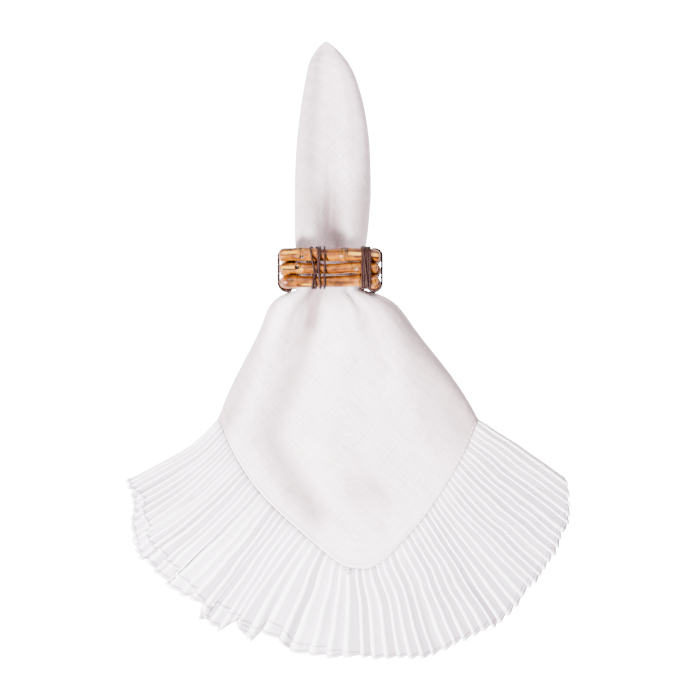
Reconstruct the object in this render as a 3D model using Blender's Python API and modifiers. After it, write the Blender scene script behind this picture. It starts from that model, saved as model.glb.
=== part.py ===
"""Ruffled linen napkin, folded in quarters and drawn through a ring of lashed bamboo rods.

The napkin lies on z = 0 with its closed centre, the pointed tip, toward +Y and its ruffled corner
toward -Y. The origin is under the middle of the whole. Lengths are in metres.
"""
import bpy
import numpy as np
from math import cos, pi, radians, sin

MM = 0.001

# Linen panel: a 472 mm square, folded in quarters about its centre
SHEET = 1.0 * MM                  # thickness of one layer
PITCH = 1.4 * MM                  # from the middle of one layer to the next
TURN_ANGLE = 38                   # degrees above and below level at which a folded edge is divided
FRONT_SHARE = 0.47                # share of each half quarter that faces up; the rest is turned under
TAPER = 14.0 * MM                 # length over which the stack thins out toward the tip

SEAM_HALF = 80.0 * MM             # half the folded width at the seam
HEM_HALF = 150.0 * MM             # half the folded width at the ruffle's hem
ROLL_RADIUS = 3.6 * MM            # of the side folds at the seam and the hem
SHOULDERS = (7.0 * MM, 8.0 * MM)  # how far the fan swells out below the ring, left and right
SHOULDER_AT = 0.1                 # share of the way to the seam where it swells most
BOWS = (3.0 * MM, 5.0 * MM)       # how far the fan's sides bow out between ring and seam

# Pleated ruffle
RUFFLE_WIDTH = 66.0 * MM
RUFFLE_GAP = 1.6 * MM             # between the panel's cut edge and the ruffle
UNDER_FRONT = 6.8 * MM            # from the middle of the flanks' stack to the middle of the front's
FLUTE = 0.55 * MM                 # how far the flutes stand up and down at the hem
FLUTED_TO = 0.42                  # lane on either side where the flutes end, short of the side folds

# Ring: four groups of three rods round a square opening, seen end to end from +X
RING_X = -11.8 * MM
RING_Y = 48.3 * MM
RING_WIDE = 60.0 * MM
RING_TALL = 50.0 * MM
CORD = 1.3 * MM                   # waxed cord, diameter
CLEAR = 0.3 * MM                  # between touching pieces
EXIT_Y = RING_Y - 13.3 * MM       # where the cloth leaves the ring and fans out

TIP_Y = 189.5 * MM
MIDDLE_Z = 6.0 * MM               # height of the very tip

# Edges of the tongue and the heights of its stack, middle of the four layers, from tip to ring
# and on to the hem: y, left x, right x, lower z, upper z
LEVELS = np.array([
    (189.5, -14.7, -14.7, 2.6, 9.6),
    (186.0, -17.9, -10.9, 2.6, 9.6),
    (176.7, -21.9, -4.6, 2.6, 9.8),
    (164.3, -24.2, 1.3, 2.6, 10.4),
    (140.0, -28.2, 7.4, 2.6, 12.0),
    (121.0, -29.8, 9.2, 2.6, 14.5),
    (97.4, -30.5, 9.6, 3.2, 21.0),
    (79.0, -30.4, 8.4, 7.5, 29.0),
    (66.0, -30.0, 7.0, 12.6, 34.6),
    (60.0, -29.4, 5.8, 13.6, 35.4),
    (35.0, -29.4, 5.8, 13.6, 35.4),
    (24.0, -36.0, 14.0, 9.0, 31.0),
    (4.0, -50.0, 34.0, 3.0, 22.0),
    (-18.0, -64.0, 55.0, 2.6, 14.5),
    (-41.0, -77.5, 75.5, 2.6, 10.0),
    (-107.0, -77.5, 75.5, 2.6, 9.4),
    (-131.0, -77.5, 75.5, 2.6, 2.6),
    (-190.0, -77.5, 75.5, 2.6, 2.6),
]) * MM

# Seam and hem across the front, left to right: share, seam x, seam y, hem x, hem y
FAN = np.array([
    (-1.00, -79.5, -42.0, -132.5, -80.5),
    (-0.86, -76.0, -54.0, -127.0, -94.0),
    (-0.73, -71.0, -65.0, -123.5, -108.0),
    (-0.53, -58.2, -83.0, -111.5, -130.0),
    (-0.37, -44.1, -98.3, -89.0, -155.0),
    (-0.23, -30.0, -111.2, -66.8, -165.0),
    (-0.12, -17.0, -122.6, -40.4, -175.5),
    (0.00, 0.0, -133.4, -3.0, -186.5),
    (0.08, 10.0, -133.6, 18.0, -189.0),
    (0.16, 20.0, -129.0, 36.1, -189.2),
    (0.27, 31.9, -117.3, 64.0, -180.5),
    (0.45, 47.2, -99.5, 97.0, -161.0),
    (0.65, 60.0, -79.9, 117.0, -136.0),
    (0.84, 70.4, -60.9, 128.6, -109.9),
    (1.00, 77.5, -43.0, 133.0, -83.0),
])
FAN[:, 1:] *= MM

# Inner ends of the flanks that are turned under, and where their ruffle's hem lies: x, y
FLANK_SEAM = (-1.0 * MM, -34.0 * MM)
FLANK_GAP = 4.0 * MM              # from the middle line to each flank's folded edge

# Folds that run from the ring, on the upper layers: share at the ring, share at the hem,
# half width as a share, depth, y where it is deepest, how far it reaches up and down from there
CREASES = np.array([
    (0.02, 0.02, 0.38, 8.0, 52.0, 40.0, 18.0),
    (-0.46, -0.60, 0.20, 3.4, 22.0, 16.0, 75.0),
    (0.52, 0.40, 0.17, 2.6, 20.0, 14.0, 42.0),
])
CREASES[:, 3:] *= MM

# Where the cloth is divided: distances from the tip to the ring, then shares from ring to seam
TONGUE_ROWS = np.array([1.5, 6.0, 16.0, 34.0, 60.0, 86.0, 108.0, 122.0, 129.0, 142.0, 154.5]) * MM
FAN_ROWS = np.array([0.08, 0.18, 0.30, 0.46, 0.64, 0.82, 1.0])
HALF_LANES = np.array([0.14, 0.27, 0.38, 0.44, 0.47, 0.507, 0.75, 1.0])
RUFFLE_ROWS = np.array([0.0, 0.35, 0.7, 1.0])

# Front rods, top to bottom: name, y from the ring's middle, radius, left end, right end, tilt,
# then the places of the knuckles along the rod as shares
FRONT_RODS = (
    ("rod_front_upper", 8.0, 4.1, -30.0, 29.4, 0.5, (0.20, 0.64)),
    ("rod_front_middle", -0.2, 3.4, -29.6, 28.2, 0.0, (0.20, 0.78)),
    ("rod_front_lower", -7.9, 3.6, -28.6, 28.6, -0.4, (0.12, 0.52)),
)
BACK_RADIUS = 3.5
SIDE_RADIUS = 3.0
ROW_STEP = 7.9                    # between the rods of the back and side groups, centre to centre
SIDE_INSET = 0.2                  # the side rods stand this far inside the ring's full width
ROD_RING = 10                     # faces round a front rod
ROD_RING_PLAIN = 8                # faces round a side or back rod

# Lashings, in millimetres from the ring's middle: x of each strand at the left and how it leans
LEFT_STRANDS = ((-10.1, -1.2), (-6.4, 0.3), (-3.1, -0.2))
FRONT_REACH = 12.3                # from the middle rod's axis to the outside of the front group
FRONT_DEEP = 4.1                  # half the thickness of the front group
RIGHT_BAND = (17.2, 4, 1.4)       # x where it starts, turns, and step from turn to turn
PAIR = (2, 1.7)                   # side and back lashings: turns, and step from turn to turn
SIDE_WRAP_Z = 27.0
BACK_WRAP_X = 16.0


def across(table, place, column):
    """Linear reading of one column of a table against its first column."""
    order = np.argsort(table[:, 0])
    return np.interp(place, table[order, 0], table[order, column])


def stadium(lane, half, radius):
    """Flattened loop: lanes run along its top, round the end and back along its underside.

    Gives the place across as a share of the half width, and the height as a share from 0 to 1.
    """
    side = np.abs(lane)
    radius = np.minimum(radius, 0.92 * half)
    straight = half - radius
    bend = radius * pi / 2
    top = np.clip(side / FRONT_SHARE, 0, 1) * (straight + bend)
    under = np.clip((side - FRONT_SHARE) / (1 - FRONT_SHARE), 0, 1) * (bend + straight)
    turn = np.clip((top - straight) / radius, 0, pi / 2) + np.clip(under / radius, 0, pi / 2)
    place = np.minimum(top, straight) + radius * np.sin(turn) - np.maximum(under - bend, 0)
    return np.sign(lane) * place / half, 0.5 + 0.5 * np.cos(turn)


def crease(share, y, spread):
    """Depth of the folds at a share across the front: a bell across, fading up and down."""
    depth = np.zeros_like(y)
    for at_ring, at_hem, width, deep, peak, above, below in CREASES:
        middle = at_ring + (at_hem - at_ring) * spread
        length = np.where(y > peak, above, below)
        depth += deep * np.exp(-((share - middle) / width) ** 2 - ((y - peak) / length) ** 2)
    return depth


def folded(station, lane):
    """Middle of the four layers. Stations 0 to 1 run from tip to ring, 1 to 2 from ring to seam."""
    distance = np.clip(station, 0, 1) * (TIP_Y - EXIT_Y)
    spread = np.clip(station - 1, 0, 1)
    shrink = np.clip(distance / TAPER, 0, 1)
    gap = FLANK_GAP * shrink
    seam_share, _ = stadium(lane, SEAM_HALF, ROLL_RADIUS)
    on_front = np.abs(lane) <= FRONT_SHARE
    front_y = across(FAN, seam_share, 2)
    end_y = np.where(lane < 0, FAN[0, 2], FAN[-1, 2])
    flank_y = FLANK_SEAM[1] + (end_y - FLANK_SEAM[1]) * np.abs(seam_share)
    seam_y = np.where(on_front, front_y, flank_y)
    y = TIP_Y - distance + (seam_y - EXIT_Y) * spread

    left = across(LEVELS, y, 1)
    right = across(LEVELS, y, 2)
    low = across(LEVELS, y, 3)
    high = across(LEVELS, y, 4)
    half = np.maximum((right - left) / 2, 0.2 * MM)
    share, rise = stadium(lane, half, shrink * (high - low) / 2 + 0.01 * MM)
    apart = np.where(on_front, share, np.sign(lane) * (gap + (half - gap) * np.abs(share)) / half)

    ring_left = across(LEVELS, EXIT_Y, 1)
    ring_right = across(LEVELS, EXIT_Y, 2)
    tongue_x = (left + right) / 2 + half * apart
    ring_half = (ring_right - ring_left) / 2
    ring_under = np.sign(lane) * (gap + (ring_half - gap) * np.abs(share)) / ring_half
    ring_apart = np.where(on_front, share, ring_under)
    ring_x = (ring_left + ring_right) / 2 + ring_half * ring_apart
    end_x = np.where(lane < 0, FAN[0, 1], FAN[-1, 1])
    inner_x = FLANK_SEAM[0] + np.sign(lane) * gap
    flank_x = inner_x + (end_x - inner_x) * np.abs(share)
    seam_x = np.where(on_front, across(FAN, share, 1), flank_x)
    swell = np.where(share < 0, *SHOULDERS) * spread / SHOULDER_AT * np.exp(1 - spread / SHOULDER_AT)
    bow = np.where(share < 0, *BOWS) * 4 * spread * (1 - spread)
    fan_x = ring_x + (seam_x - ring_x) * spread + (swell + bow) * share
    x = np.where(station <= 1, tongue_x, fan_x)

    up = np.clip(2 * rise - 1, 0, 1)
    z = low + (high - low) * rise - crease(share, y, spread) * up
    z = MIDDLE_Z + (z - MIDDLE_Z) * shrink
    return np.stack([x, y, z], axis=-1)


def hem(lane):
    """Place in plan of the ruffle's hem for each lane, and its height as a share of the stack."""
    share, rise = stadium(lane, HEM_HALF, ROLL_RADIUS)
    end = np.where(lane[..., None] < 0, FAN[0, 3:5], FAN[-1, 3:5])
    seam_end = np.where(lane[..., None] < 0, FAN[0, 1:3], FAN[-1, 1:3])
    front = np.stack([across(FAN, share, 3), across(FAN, share, 4)], axis=-1)
    outward = np.arctan2(end[..., 1] - seam_end[..., 1], end[..., 0] - seam_end[..., 0])
    turned = -pi / 2 + (outward + pi / 2) * np.abs(share)
    inner = np.array(FLANK_SEAM) + np.sign(lane)[..., None] * np.array([FLANK_GAP, 0.0])
    start = inner + (seam_end - inner) * np.abs(share)[..., None]
    flank = start + RUFFLE_WIDTH * np.stack([np.cos(turned), np.sin(turned)], axis=-1)
    return np.where((np.abs(lane) <= FRONT_SHARE)[..., None], front, flank), rise


def resting(place, rise, on_front):
    """Height of the ruffle's middle: over the flanks on the front, on the table underneath."""
    low = across(LEVELS, place[..., 1], 3)
    high = np.where(on_front, across(LEVELS, place[..., 1], 4), low + UNDER_FRONT)
    return low + (high - low) * rise


def ruffled(width_share, lane):
    """Straight lines in plan from seam, at 0, to hem, at 1, lying on what is below them."""
    seam = folded(np.full_like(lane, 2.0), lane)
    edge, edge_rise = hem(lane)
    on_front = np.abs(lane) <= FRONT_SHARE
    _, seam_rise = stadium(lane, SEAM_HALF, ROLL_RADIUS)
    away = edge - seam[..., :2]
    away /= np.linalg.norm(away, axis=-1, keepdims=True)
    start = seam[..., :2] + away * RUFFLE_GAP
    share = width_share[..., None]
    place = start + (edge - start) * share
    rise = seam_rise + (edge_rise - seam_rise) * width_share
    settled = seam[..., 2] - resting(start, seam_rise, on_front)
    height = resting(place, rise, on_front) + settled * np.clip(1 - 2 * width_share, 0, 1)
    return np.concatenate([place, height[..., None]], axis=-1)


def layer_loop(lanes):
    """Walk round the four layers: lane, offset, shift past the fold, and the sheet's own normal.

    Offsets and shifts are in layers. At each folded edge the walk turns through half a circle.
    """
    steps = []
    turns = ((1, 1.0, 0.5, 1, 1), (-1, 0.0, 0.5, -1, 1), (1, -1.0, 0.5, 1, 1), (-1, 0.0, 1.5, 1, -1))
    for index, offset in enumerate((1.5, 0.5, -0.5, -1.5)):
        way = 1 if index % 2 == 0 else -1
        for lane in lanes[::way]:
            steps.append((lane, offset, 0.0, way, 0.0))
        edge, middle, radius, face, spin = turns[index]
        for angle in (radians(TURN_ANGLE), radians(-TURN_ANGLE)):
            rise = sin(angle) * spin
            run = cos(angle)
            steps.append((edge, middle + radius * rise, edge * radius * run, face * rise, face * edge * run))
    return np.array(steps)


def skins(surface, rows, steps, thin):
    """Upper and lower face of the folded sheet over every row and step of the walk."""
    row = np.repeat(rows[:, None], len(steps), axis=1)
    lane = np.repeat(steps[None, :, 0], len(rows), axis=0)
    small = 1e-4
    inner = np.clip(lane, -1 + small, 1 - small)
    middle = surface(row, lane)
    along = surface(row + small, inner) - surface(row - small, inner)
    cross = surface(row, inner + small) - surface(row, inner - small)
    cross /= np.linalg.norm(cross, axis=-1, keepdims=True)
    normal = np.cross(along, cross)
    normal /= np.linalg.norm(normal, axis=-1, keepdims=True)
    scale = thin(row)[..., None]
    offset, shift, face_up, face_side = (steps[None, :, i, None] for i in range(1, 5))
    middle = middle + PITCH * scale * (offset * normal + shift * cross)
    facing = (face_up * normal + face_side * cross) * SHEET / 2 * scale
    upper = middle + facing
    lower = middle - facing
    for skin in (upper, lower):
        skin[..., 2] = np.maximum(skin[..., 2], 0.0)
    return upper, lower


def leans_outward(steps):
    """Which way each stretch of the walk is cut into triangles: away from the middle lane."""
    middle = (steps[:, 0] + np.roll(steps[:, 0], -1)) / 2
    return (steps[:, 3] > 0) == (middle > 0)


def strip(first, second, outward):
    """Triangles between two closed rows of vertex numbers, cut the same way on every layer."""
    next_first = np.roll(first, -1)
    next_second = np.roll(second, -1)
    one = np.where(outward, next_second, second)
    other = np.where(outward, first, next_first)
    near = np.stack([first, one, next_first], axis=-1)
    far = np.stack([other, second, next_second], axis=-1)
    return np.concatenate([near, far]).tolist()


def closed_band(name, upper_skin, lower_skin, outward, material, collection):
    """Sheet from its two skins, whose columns close on themselves, with a rim along each border."""
    count = upper_skin.shape[0] * upper_skin.shape[1]
    upper = np.arange(count).reshape(upper_skin.shape[:2])
    lower = upper + count
    faces = []
    for near, far in zip(upper[:-1], upper[1:]):
        faces.extend(strip(near, far, outward))
    for near, far in zip(lower[:-1], lower[1:]):
        faces.extend(face[::-1] for face in strip(near, far, outward))
    faces.extend(strip(upper[-1], lower[-1], outward))
    faces.extend(strip(lower[0], upper[0], outward))
    points = np.concatenate([upper_skin.reshape(-1, 3), lower_skin.reshape(-1, 3)])
    mesh = bpy.data.meshes.new(name)
    mesh.from_pydata(points.tolist(), [], faces)
    mesh.update()
    mesh.materials.append(material)
    thing = bpy.data.objects.new(name, mesh)
    collection.objects.link(thing)
    return thing


def cloth_panel(material, collection):
    """The quarter-folded square, from a pinhole at its closed centre out to its cut edge."""
    lanes = np.concatenate([-HALF_LANES[::-1], [0.0], HALF_LANES])
    steps = layer_loop(lanes)
    rows = np.concatenate([TONGUE_ROWS / (TIP_Y - EXIT_Y), 1 + FAN_ROWS])

    def thin(station):
        return np.clip(station * (TIP_Y - EXIT_Y) / TAPER, 0.05, 1)

    upper, lower = skins(folded, rows, steps, thin)
    outward = leans_outward(steps)
    return closed_band("linen_panel", upper, lower, outward, material, collection)


def with_halfway(values):
    """The same closed walk with one more row of values in the middle of each stretch."""
    halfway = (values + np.roll(values, -1, axis=0)) / 2
    return np.stack([values, halfway], axis=1).reshape(-1, values.shape[1])


def ruffle(material, collection):
    """One long strip sewn round the panel, folded with it, with flutes that grow toward the hem."""
    lanes = np.concatenate([-HALF_LANES[::-1], [0.0], HALF_LANES])
    steps = layer_loop(lanes)
    seam_upper, seam_lower = skins(folded, np.array([2.0]), steps, np.ones_like)
    lane = steps[:, 0]
    step_out = ruffled(np.zeros_like(lane), lane) - folded(np.full_like(lane, 2.0), lane)
    fine_steps = with_halfway(steps)
    upper, lower = skins(ruffled, RUFFLE_ROWS, fine_steps, np.ones_like)
    upper[0] = with_halfway(seam_upper[0] + step_out)
    lower[0] = with_halfway(seam_lower[0] + step_out)
    raised = np.tile([0.0, 2.0], len(steps)) * (np.abs(fine_steps[:, 0]) < FLUTED_TO)
    lift = FLUTE * RUFFLE_ROWS[:, None] * raised[None, :]
    upper[..., 2] += lift
    lower[..., 2] += lift
    outward = np.repeat(leans_outward(steps), 2)
    return closed_band("pleated_ruffle", upper, lower, outward, material, collection)


def bamboo_rod(name, centre, radius, length, axis_turn, knuckles, material, collection, sides=ROD_RING):
    """Turned rod with swollen knuckles and rounded ends, its profile spun by a Screw modifier."""
    profile = [(0.0, -length / 2), (radius * 0.72, -length / 2), (radius * 0.97, -length / 2 + radius * 0.3)]
    for share in knuckles:
        place = (share - 0.5) * length
        profile += [(radius * 0.93, place - 2.2 * MM), (radius, place), (radius * 0.93, place + 2.2 * MM)]
    profile += [(radius * 0.97, length / 2 - radius * 0.3), (radius * 0.72, length / 2), (0.0, length / 2)]
    mesh = bpy.data.meshes.new(name)
    points = [(r, 0.0, z) for r, z in reversed(profile)]
    edges = [(i, i + 1) for i in range(len(points) - 1)]
    mesh.from_pydata(points, edges, [])
    mesh.materials.append(material)
    rod = bpy.data.objects.new(name, mesh)
    collection.objects.link(rod)
    spin = rod.modifiers.new("turned", "SCREW")
    spin.axis = "Z"
    spin.steps = sides
    spin.render_steps = sides
    spin.use_merge_vertices = True
    spin.merge_threshold = 0.00002
    spin.use_normal_calculate = True
    rod.location = centre
    rod.rotation_euler = axis_turn
    return rod


def lashing(name, points, closed, material, collection, thick=CORD):
    """Waxed cord along a line of points, round in section."""
    curve = bpy.data.curves.new(name, "CURVE")
    curve.dimensions = "3D"
    curve.bevel_depth = thick / 2
    curve.bevel_resolution = 1
    curve.use_fill_caps = not closed
    spline = curve.splines.new("POLY")
    spline.points.add(len(points) - 1)
    for point, place in zip(spline.points, points):
        point.co = (*place, 1.0)
    spline.use_cyclic_u = closed
    curve.materials.append(material)
    cord = bpy.data.objects.new(name, curve)
    collection.objects.link(cord)
    return cord


def racetrack(half_long, half_short, turns, advance, parts=14):
    """Points of a wrap round a group of rods: along, across and out of the wrapping plane."""
    track = []
    total = int(parts * turns)
    for index in range(total + (0 if advance == 0 else 1)):
        angle = 2 * pi * index / parts
        squeeze = max(abs(cos(angle)), abs(sin(angle))) ** 0.72
        place = (half_long * cos(angle) / squeeze, half_short * sin(angle) / squeeze, advance * index / parts)
        track.append(place)
    return track


def plain_material(name, colour, roughness):
    """Principled material in one colour."""
    material = bpy.data.materials.new(name)
    material.use_nodes = True
    shader = material.node_tree.nodes["Principled BSDF"]
    shader.inputs["Base Color"].default_value = (*colour, 1.0)
    shader.inputs["Roughness"].default_value = roughness
    shader.inputs["Metallic"].default_value = 0.0
    material.diffuse_color = (*colour, 1.0)
    return material


def ring_rods(material, collection):
    """Twelve rods: three in front, three behind, three on each side between them."""
    top = RING_TALL
    for name, y, radius, left, right, tilt, knuckles in FRONT_RODS:
        centre = (RING_X + (left + right) / 2 * MM, RING_Y + y * MM, top - radius * MM)
        length = (right - left) * MM
        turn = (0.0, pi / 2, radians(tilt))
        bamboo_rod(name, centre, radius * MM, length, turn, knuckles, material, collection)
    back_z = CORD + CLEAR + BACK_RADIUS * MM
    side_low = back_z + BACK_RADIUS * MM + CLEAR
    side_high = top - 2 * FRONT_DEEP * MM - CLEAR
    side_x = RING_WIDE / 2 - (SIDE_RADIUS + SIDE_INSET) * MM
    for index, label in enumerate(("upper", "middle", "lower")):
        y = RING_Y + (1 - index) * ROW_STEP * MM
        bamboo_rod(f"rod_back_{label}", (RING_X, y, back_z), BACK_RADIUS * MM, RING_WIDE - 2 * MM,
                   (0.0, pi / 2, 0.0), (0.3, 0.7), material, collection, ROD_RING_PLAIN)
        for side, way in (("left", -1), ("right", 1)):
            centre = (RING_X + way * side_x, y, (side_low + side_high) / 2)
            bamboo_rod(f"rod_{side}_{label}", centre, SIDE_RADIUS * MM, side_high - side_low,
                       (0.0, 0.0, 0.0), (0.45,), material, collection, ROD_RING_PLAIN)


def ring_lashings(material, collection):
    """Cord wound round each group of rods, clear of them by a hair."""
    wrap = CORD / 2 + CLEAR
    front_z = RING_TALL - FRONT_DEEP * MM
    half_tall = FRONT_REACH * MM + wrap
    half_deep = FRONT_DEEP * MM + wrap
    for index, (place, lean) in enumerate(LEFT_STRANDS):
        track = racetrack(half_tall, half_deep, 1, 0)
        left = RING_X + place * MM
        points = [(left + lean * MM * a / half_tall, RING_Y + a, front_z + b) for a, b, _ in track]
        lashing(f"lashing_front_left_{index + 1}", points, True, material, collection)
    start, turns, step = RIGHT_BAND
    track = racetrack(half_tall, half_deep, turns, step * MM)
    points = [(RING_X + start * MM + run, RING_Y + a, front_z + b) for a, b, run in track]
    lashing("lashing_front_right", points, False, material, collection)

    reach = ROW_STEP * MM + SIDE_RADIUS * MM + wrap
    side_x = RING_WIDE / 2 - (SIDE_RADIUS + SIDE_INSET) * MM
    turns, step = PAIR
    for side, way in (("left", -1), ("right", 1)):
        track = racetrack(reach, SIDE_RADIUS * MM + wrap, turns, step * MM)
        points = [(RING_X + way * (side_x + b), RING_Y + a, SIDE_WRAP_Z * MM + run) for a, b, run in track]
        lashing(f"lashing_side_{side}", points, False, material, collection)
        reach_back = ROW_STEP * MM + BACK_RADIUS * MM + wrap
        track = racetrack(reach_back, BACK_RADIUS * MM + wrap, turns, step * MM)
        back_z = CORD + CLEAR + BACK_RADIUS * MM
        points = [(RING_X + way * BACK_WRAP_X * MM + run, RING_Y + a, back_z + b) for a, b, run in track]
        lashing(f"lashing_back_{side}", points, False, material, collection)


for old in list(bpy.data.objects):
    bpy.data.objects.remove(old, do_unlink=True)
group = bpy.data.collections.new("napkin_in_ring")
bpy.context.scene.collection.children.link(group)
linen = plain_material("linen", (0.88, 0.86, 0.83), 0.9)
ruffle_linen = plain_material("ruffle_linen", (0.90, 0.89, 0.89), 0.85)
bamboo = plain_material("bamboo", (0.62, 0.33, 0.08), 0.35)
waxed_cord = plain_material("waxed_cord", (0.07, 0.03, 0.02), 0.6)
cloth_panel(linen, group)
ruffle(ruffle_linen, group)
ring_rods(bamboo, group)
ring_lashings(waxed_cord, group)
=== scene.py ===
from math import pi, radians

import bpy
import numpy as np
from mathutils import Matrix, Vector


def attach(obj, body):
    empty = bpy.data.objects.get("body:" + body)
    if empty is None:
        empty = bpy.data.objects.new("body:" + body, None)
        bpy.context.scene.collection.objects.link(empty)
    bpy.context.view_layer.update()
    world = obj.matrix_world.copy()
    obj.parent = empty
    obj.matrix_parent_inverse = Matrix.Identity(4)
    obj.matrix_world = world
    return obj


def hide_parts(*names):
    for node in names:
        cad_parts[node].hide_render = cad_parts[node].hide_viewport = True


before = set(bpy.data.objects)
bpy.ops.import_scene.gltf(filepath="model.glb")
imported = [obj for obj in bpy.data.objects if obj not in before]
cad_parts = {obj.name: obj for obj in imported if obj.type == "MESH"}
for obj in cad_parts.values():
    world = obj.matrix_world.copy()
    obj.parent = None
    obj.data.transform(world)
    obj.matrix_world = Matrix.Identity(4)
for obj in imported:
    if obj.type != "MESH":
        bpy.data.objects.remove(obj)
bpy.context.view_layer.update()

mm = 0.001

# The napkin lies on z = 0 with its pointed tip toward +Y. Shapes are worked out in millimetres.

# camera straight above: its height, and how much of the floor it takes in, in mm
view = {"height": 1100.0, "seen": 431.2, "sensor": 36.0}

cameraData = bpy.data.cameras.new("camera")
cameraData.sensor_width = view["sensor"]
cameraData.lens = view["sensor"] * view["height"] / view["seen"]
cameraData.clip_end = 10
camera = bpy.data.objects.new("camera", cameraData)
camera.location = (0, 0, view["height"] * mm)
bpy.context.scene.collection.objects.link(camera)
bpy.context.scene.camera = camera


def fromHex(text):
    # sRGB hex to linear: each channel goes through the sRGB curve
    channels = np.array([int(text[i:i + 2], 16) for i in (1, 3, 5)]) / 255
    linear = np.where(channels <= 0.04045, channels / 12.92, ((channels + 0.055) / 1.055) ** 2.4)
    return (*linear.tolist(), 1.0)


def addNode(tree, kind, links=None, **settings):
    # one shader node: plain settings, then inputs that are either values or (node, output) pairs
    node = tree.nodes.new("ShaderNode" + kind)
    for key, value in settings.items():
        setattr(node, key, value)
    for socket, value in (links or {}).items():
        if isinstance(value, tuple) and isinstance(value[0], bpy.types.Node):
            tree.links.new(value[0].outputs[value[1]], node.inputs[socket])
        else:
            node.inputs[socket].default_value = value
    return node


def newMaterial(name, **sockets):
    # a Principled material whose named sockets hold these values
    material = bpy.data.materials.new(name)
    material.use_nodes = True
    shader = material.node_tree.nodes["Principled BSDF"]
    for socket, value in sockets.items():
        shader.inputs[socket.replace("_", " ")].default_value = value
    return material, material.node_tree, shader


def putMesh(name, points, faces, material, flat=None, marks=None):
    # points in millimetres and faces of four corners go into a mesh as whole arrays
    mesh = bpy.data.meshes.new(name)
    points = np.asarray(points, dtype=np.float64).reshape(-1, 3) * mm
    faces = np.asarray(faces, dtype=np.int32).reshape(-1, 4)
    mesh.vertices.add(len(points))
    mesh.vertices.foreach_set("co", points.ravel())
    mesh.loops.add(faces.size)
    mesh.loops.foreach_set("vertex_index", faces.ravel())
    mesh.polygons.add(len(faces))
    mesh.polygons.foreach_set("loop_start", np.arange(0, faces.size, 4, dtype=np.int32))
    mesh.update(calc_edges=True)
    mesh.polygons.foreach_set("use_smooth", np.ones(len(faces), dtype=bool))
    if flat is not None:
        layer = mesh.uv_layers.new(name="flat")
        spots = np.asarray(flat, dtype=np.float64).reshape(-1, 2) * mm
        layer.data.foreach_set("uv", spots[faces.ravel()].ravel())
    for key, values in (marks or {}).items():
        attribute = mesh.attributes.new(key, "FLOAT", "POINT")
        attribute.data.foreach_set("value", np.asarray(values, dtype=np.float64).ravel())
    mesh.validate()
    mesh.materials.append(material)
    piece = bpy.data.objects.new(name, mesh)
    bpy.context.scene.collection.objects.link(piece)
    return piece


def gridFaces(rows, columns, closeRows=False, start=0):
    # corners of each cell of a grid of points, numbered row by row and closed across
    rowCount = rows if closeRows else rows - 1
    row, column = np.meshgrid(np.arange(rowCount), np.arange(columns), indexing="ij")
    nextRow = (row + 1) % rows
    nextColumn = (column + 1) % columns
    corners = (row * columns + column, nextRow * columns + column,
               nextRow * columns + nextColumn, row * columns + nextColumn)
    return np.stack(corners, axis=-1).reshape(-1, 4) + start


def smoothRead(table, column, place):
    # monotone cubic through the rows of a table, read at a place on its first column
    order = np.argsort(table[:, 0])
    spots = table[order, 0]
    values = table[order, column]
    step = np.diff(spots)
    slope = np.diff(values) / step
    product = slope[:-1] * slope[1:]
    total = slope[:-1] + slope[1:]
    inner = np.where(product > 0, 2 * product / np.where(total == 0, 1, total), 0)
    tangent = np.concatenate([[slope[0]], inner, [slope[-1]]])
    at = np.clip(place, spots[0], spots[-1])
    index = np.clip(np.searchsorted(spots, at, side="right") - 1, 0, len(step) - 1)
    share = (at - spots[index]) / step[index]
    square = share * share
    cube = square * share
    bent = tangent[index] * (cube - 2 * square + share) + tangent[index + 1] * (cube - square)
    return (values[index] * (2 * cube - 3 * square + 1) + values[index + 1] * (3 * square - 2 * cube)
            + step[index] * bent)


def smoothStep(low, high, value):
    # 0 up to low, 1 from high on, and an S curve between; low may be the greater
    share = np.clip((value - low) / (high - low), 0, 1)
    return share * share * (3 - 2 * share)


def bell(distance, width):
    # 1 in the middle, falling smoothly to nothing within about twice the width
    return np.exp(-(distance / width) ** 2)


def unit(vectors):
    # the same directions with length one
    return vectors / np.maximum(np.linalg.norm(vectors, axis=-1, keepdims=True), 1e-9)


def lengthAlong(line):
    # length walked from the start of a line to each of its points
    return np.concatenate([[0], np.cumsum(np.linalg.norm(np.diff(line, axis=0), axis=-1))])


# The folded cloth, a square folded in quarters and bunched in the ring.
# side: the flat square; pitch and thin: from layer to layer, and one layer's thickness
# frontShare: share of a layer's lanes that lie on the upper side; roll: how far seam and hem curl over
# fuller, shoulders, bows, mouth: how far the outline bulges on the tongue, below the ring and at its mouth
cloth = {
    "side": 472.0, "pitch": 0.72, "thin": 0.36, "frontShare": 0.47, "taper": 14.0, "tipY": 189.5,
    "exitY": 35.0, "tipZ": 5.2, "seamHalf": 80.0, "hemHalf": 150.0, "roll": 3.6, "gap": 3.0,
    "flankSeam": (-1.0, -34.0), "strip": 66.0, "underFront": 5.4, "fuller": 1.8, "shoulders": (8.5, 9.0),
    "bows": (5.5, 8.0), "shoulderAt": 0.1, "mouth": 0.7, "mouthY": 33.0, "mouthReach": 4.0,
    "fanBegins": (38.0, 26.0), "underWaves": (0.85, 7)}

# height, then seed, count, shortest and longest wave of the fine unevenness
unevenness = (0.34, (11, 10, 13, 42))

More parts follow.
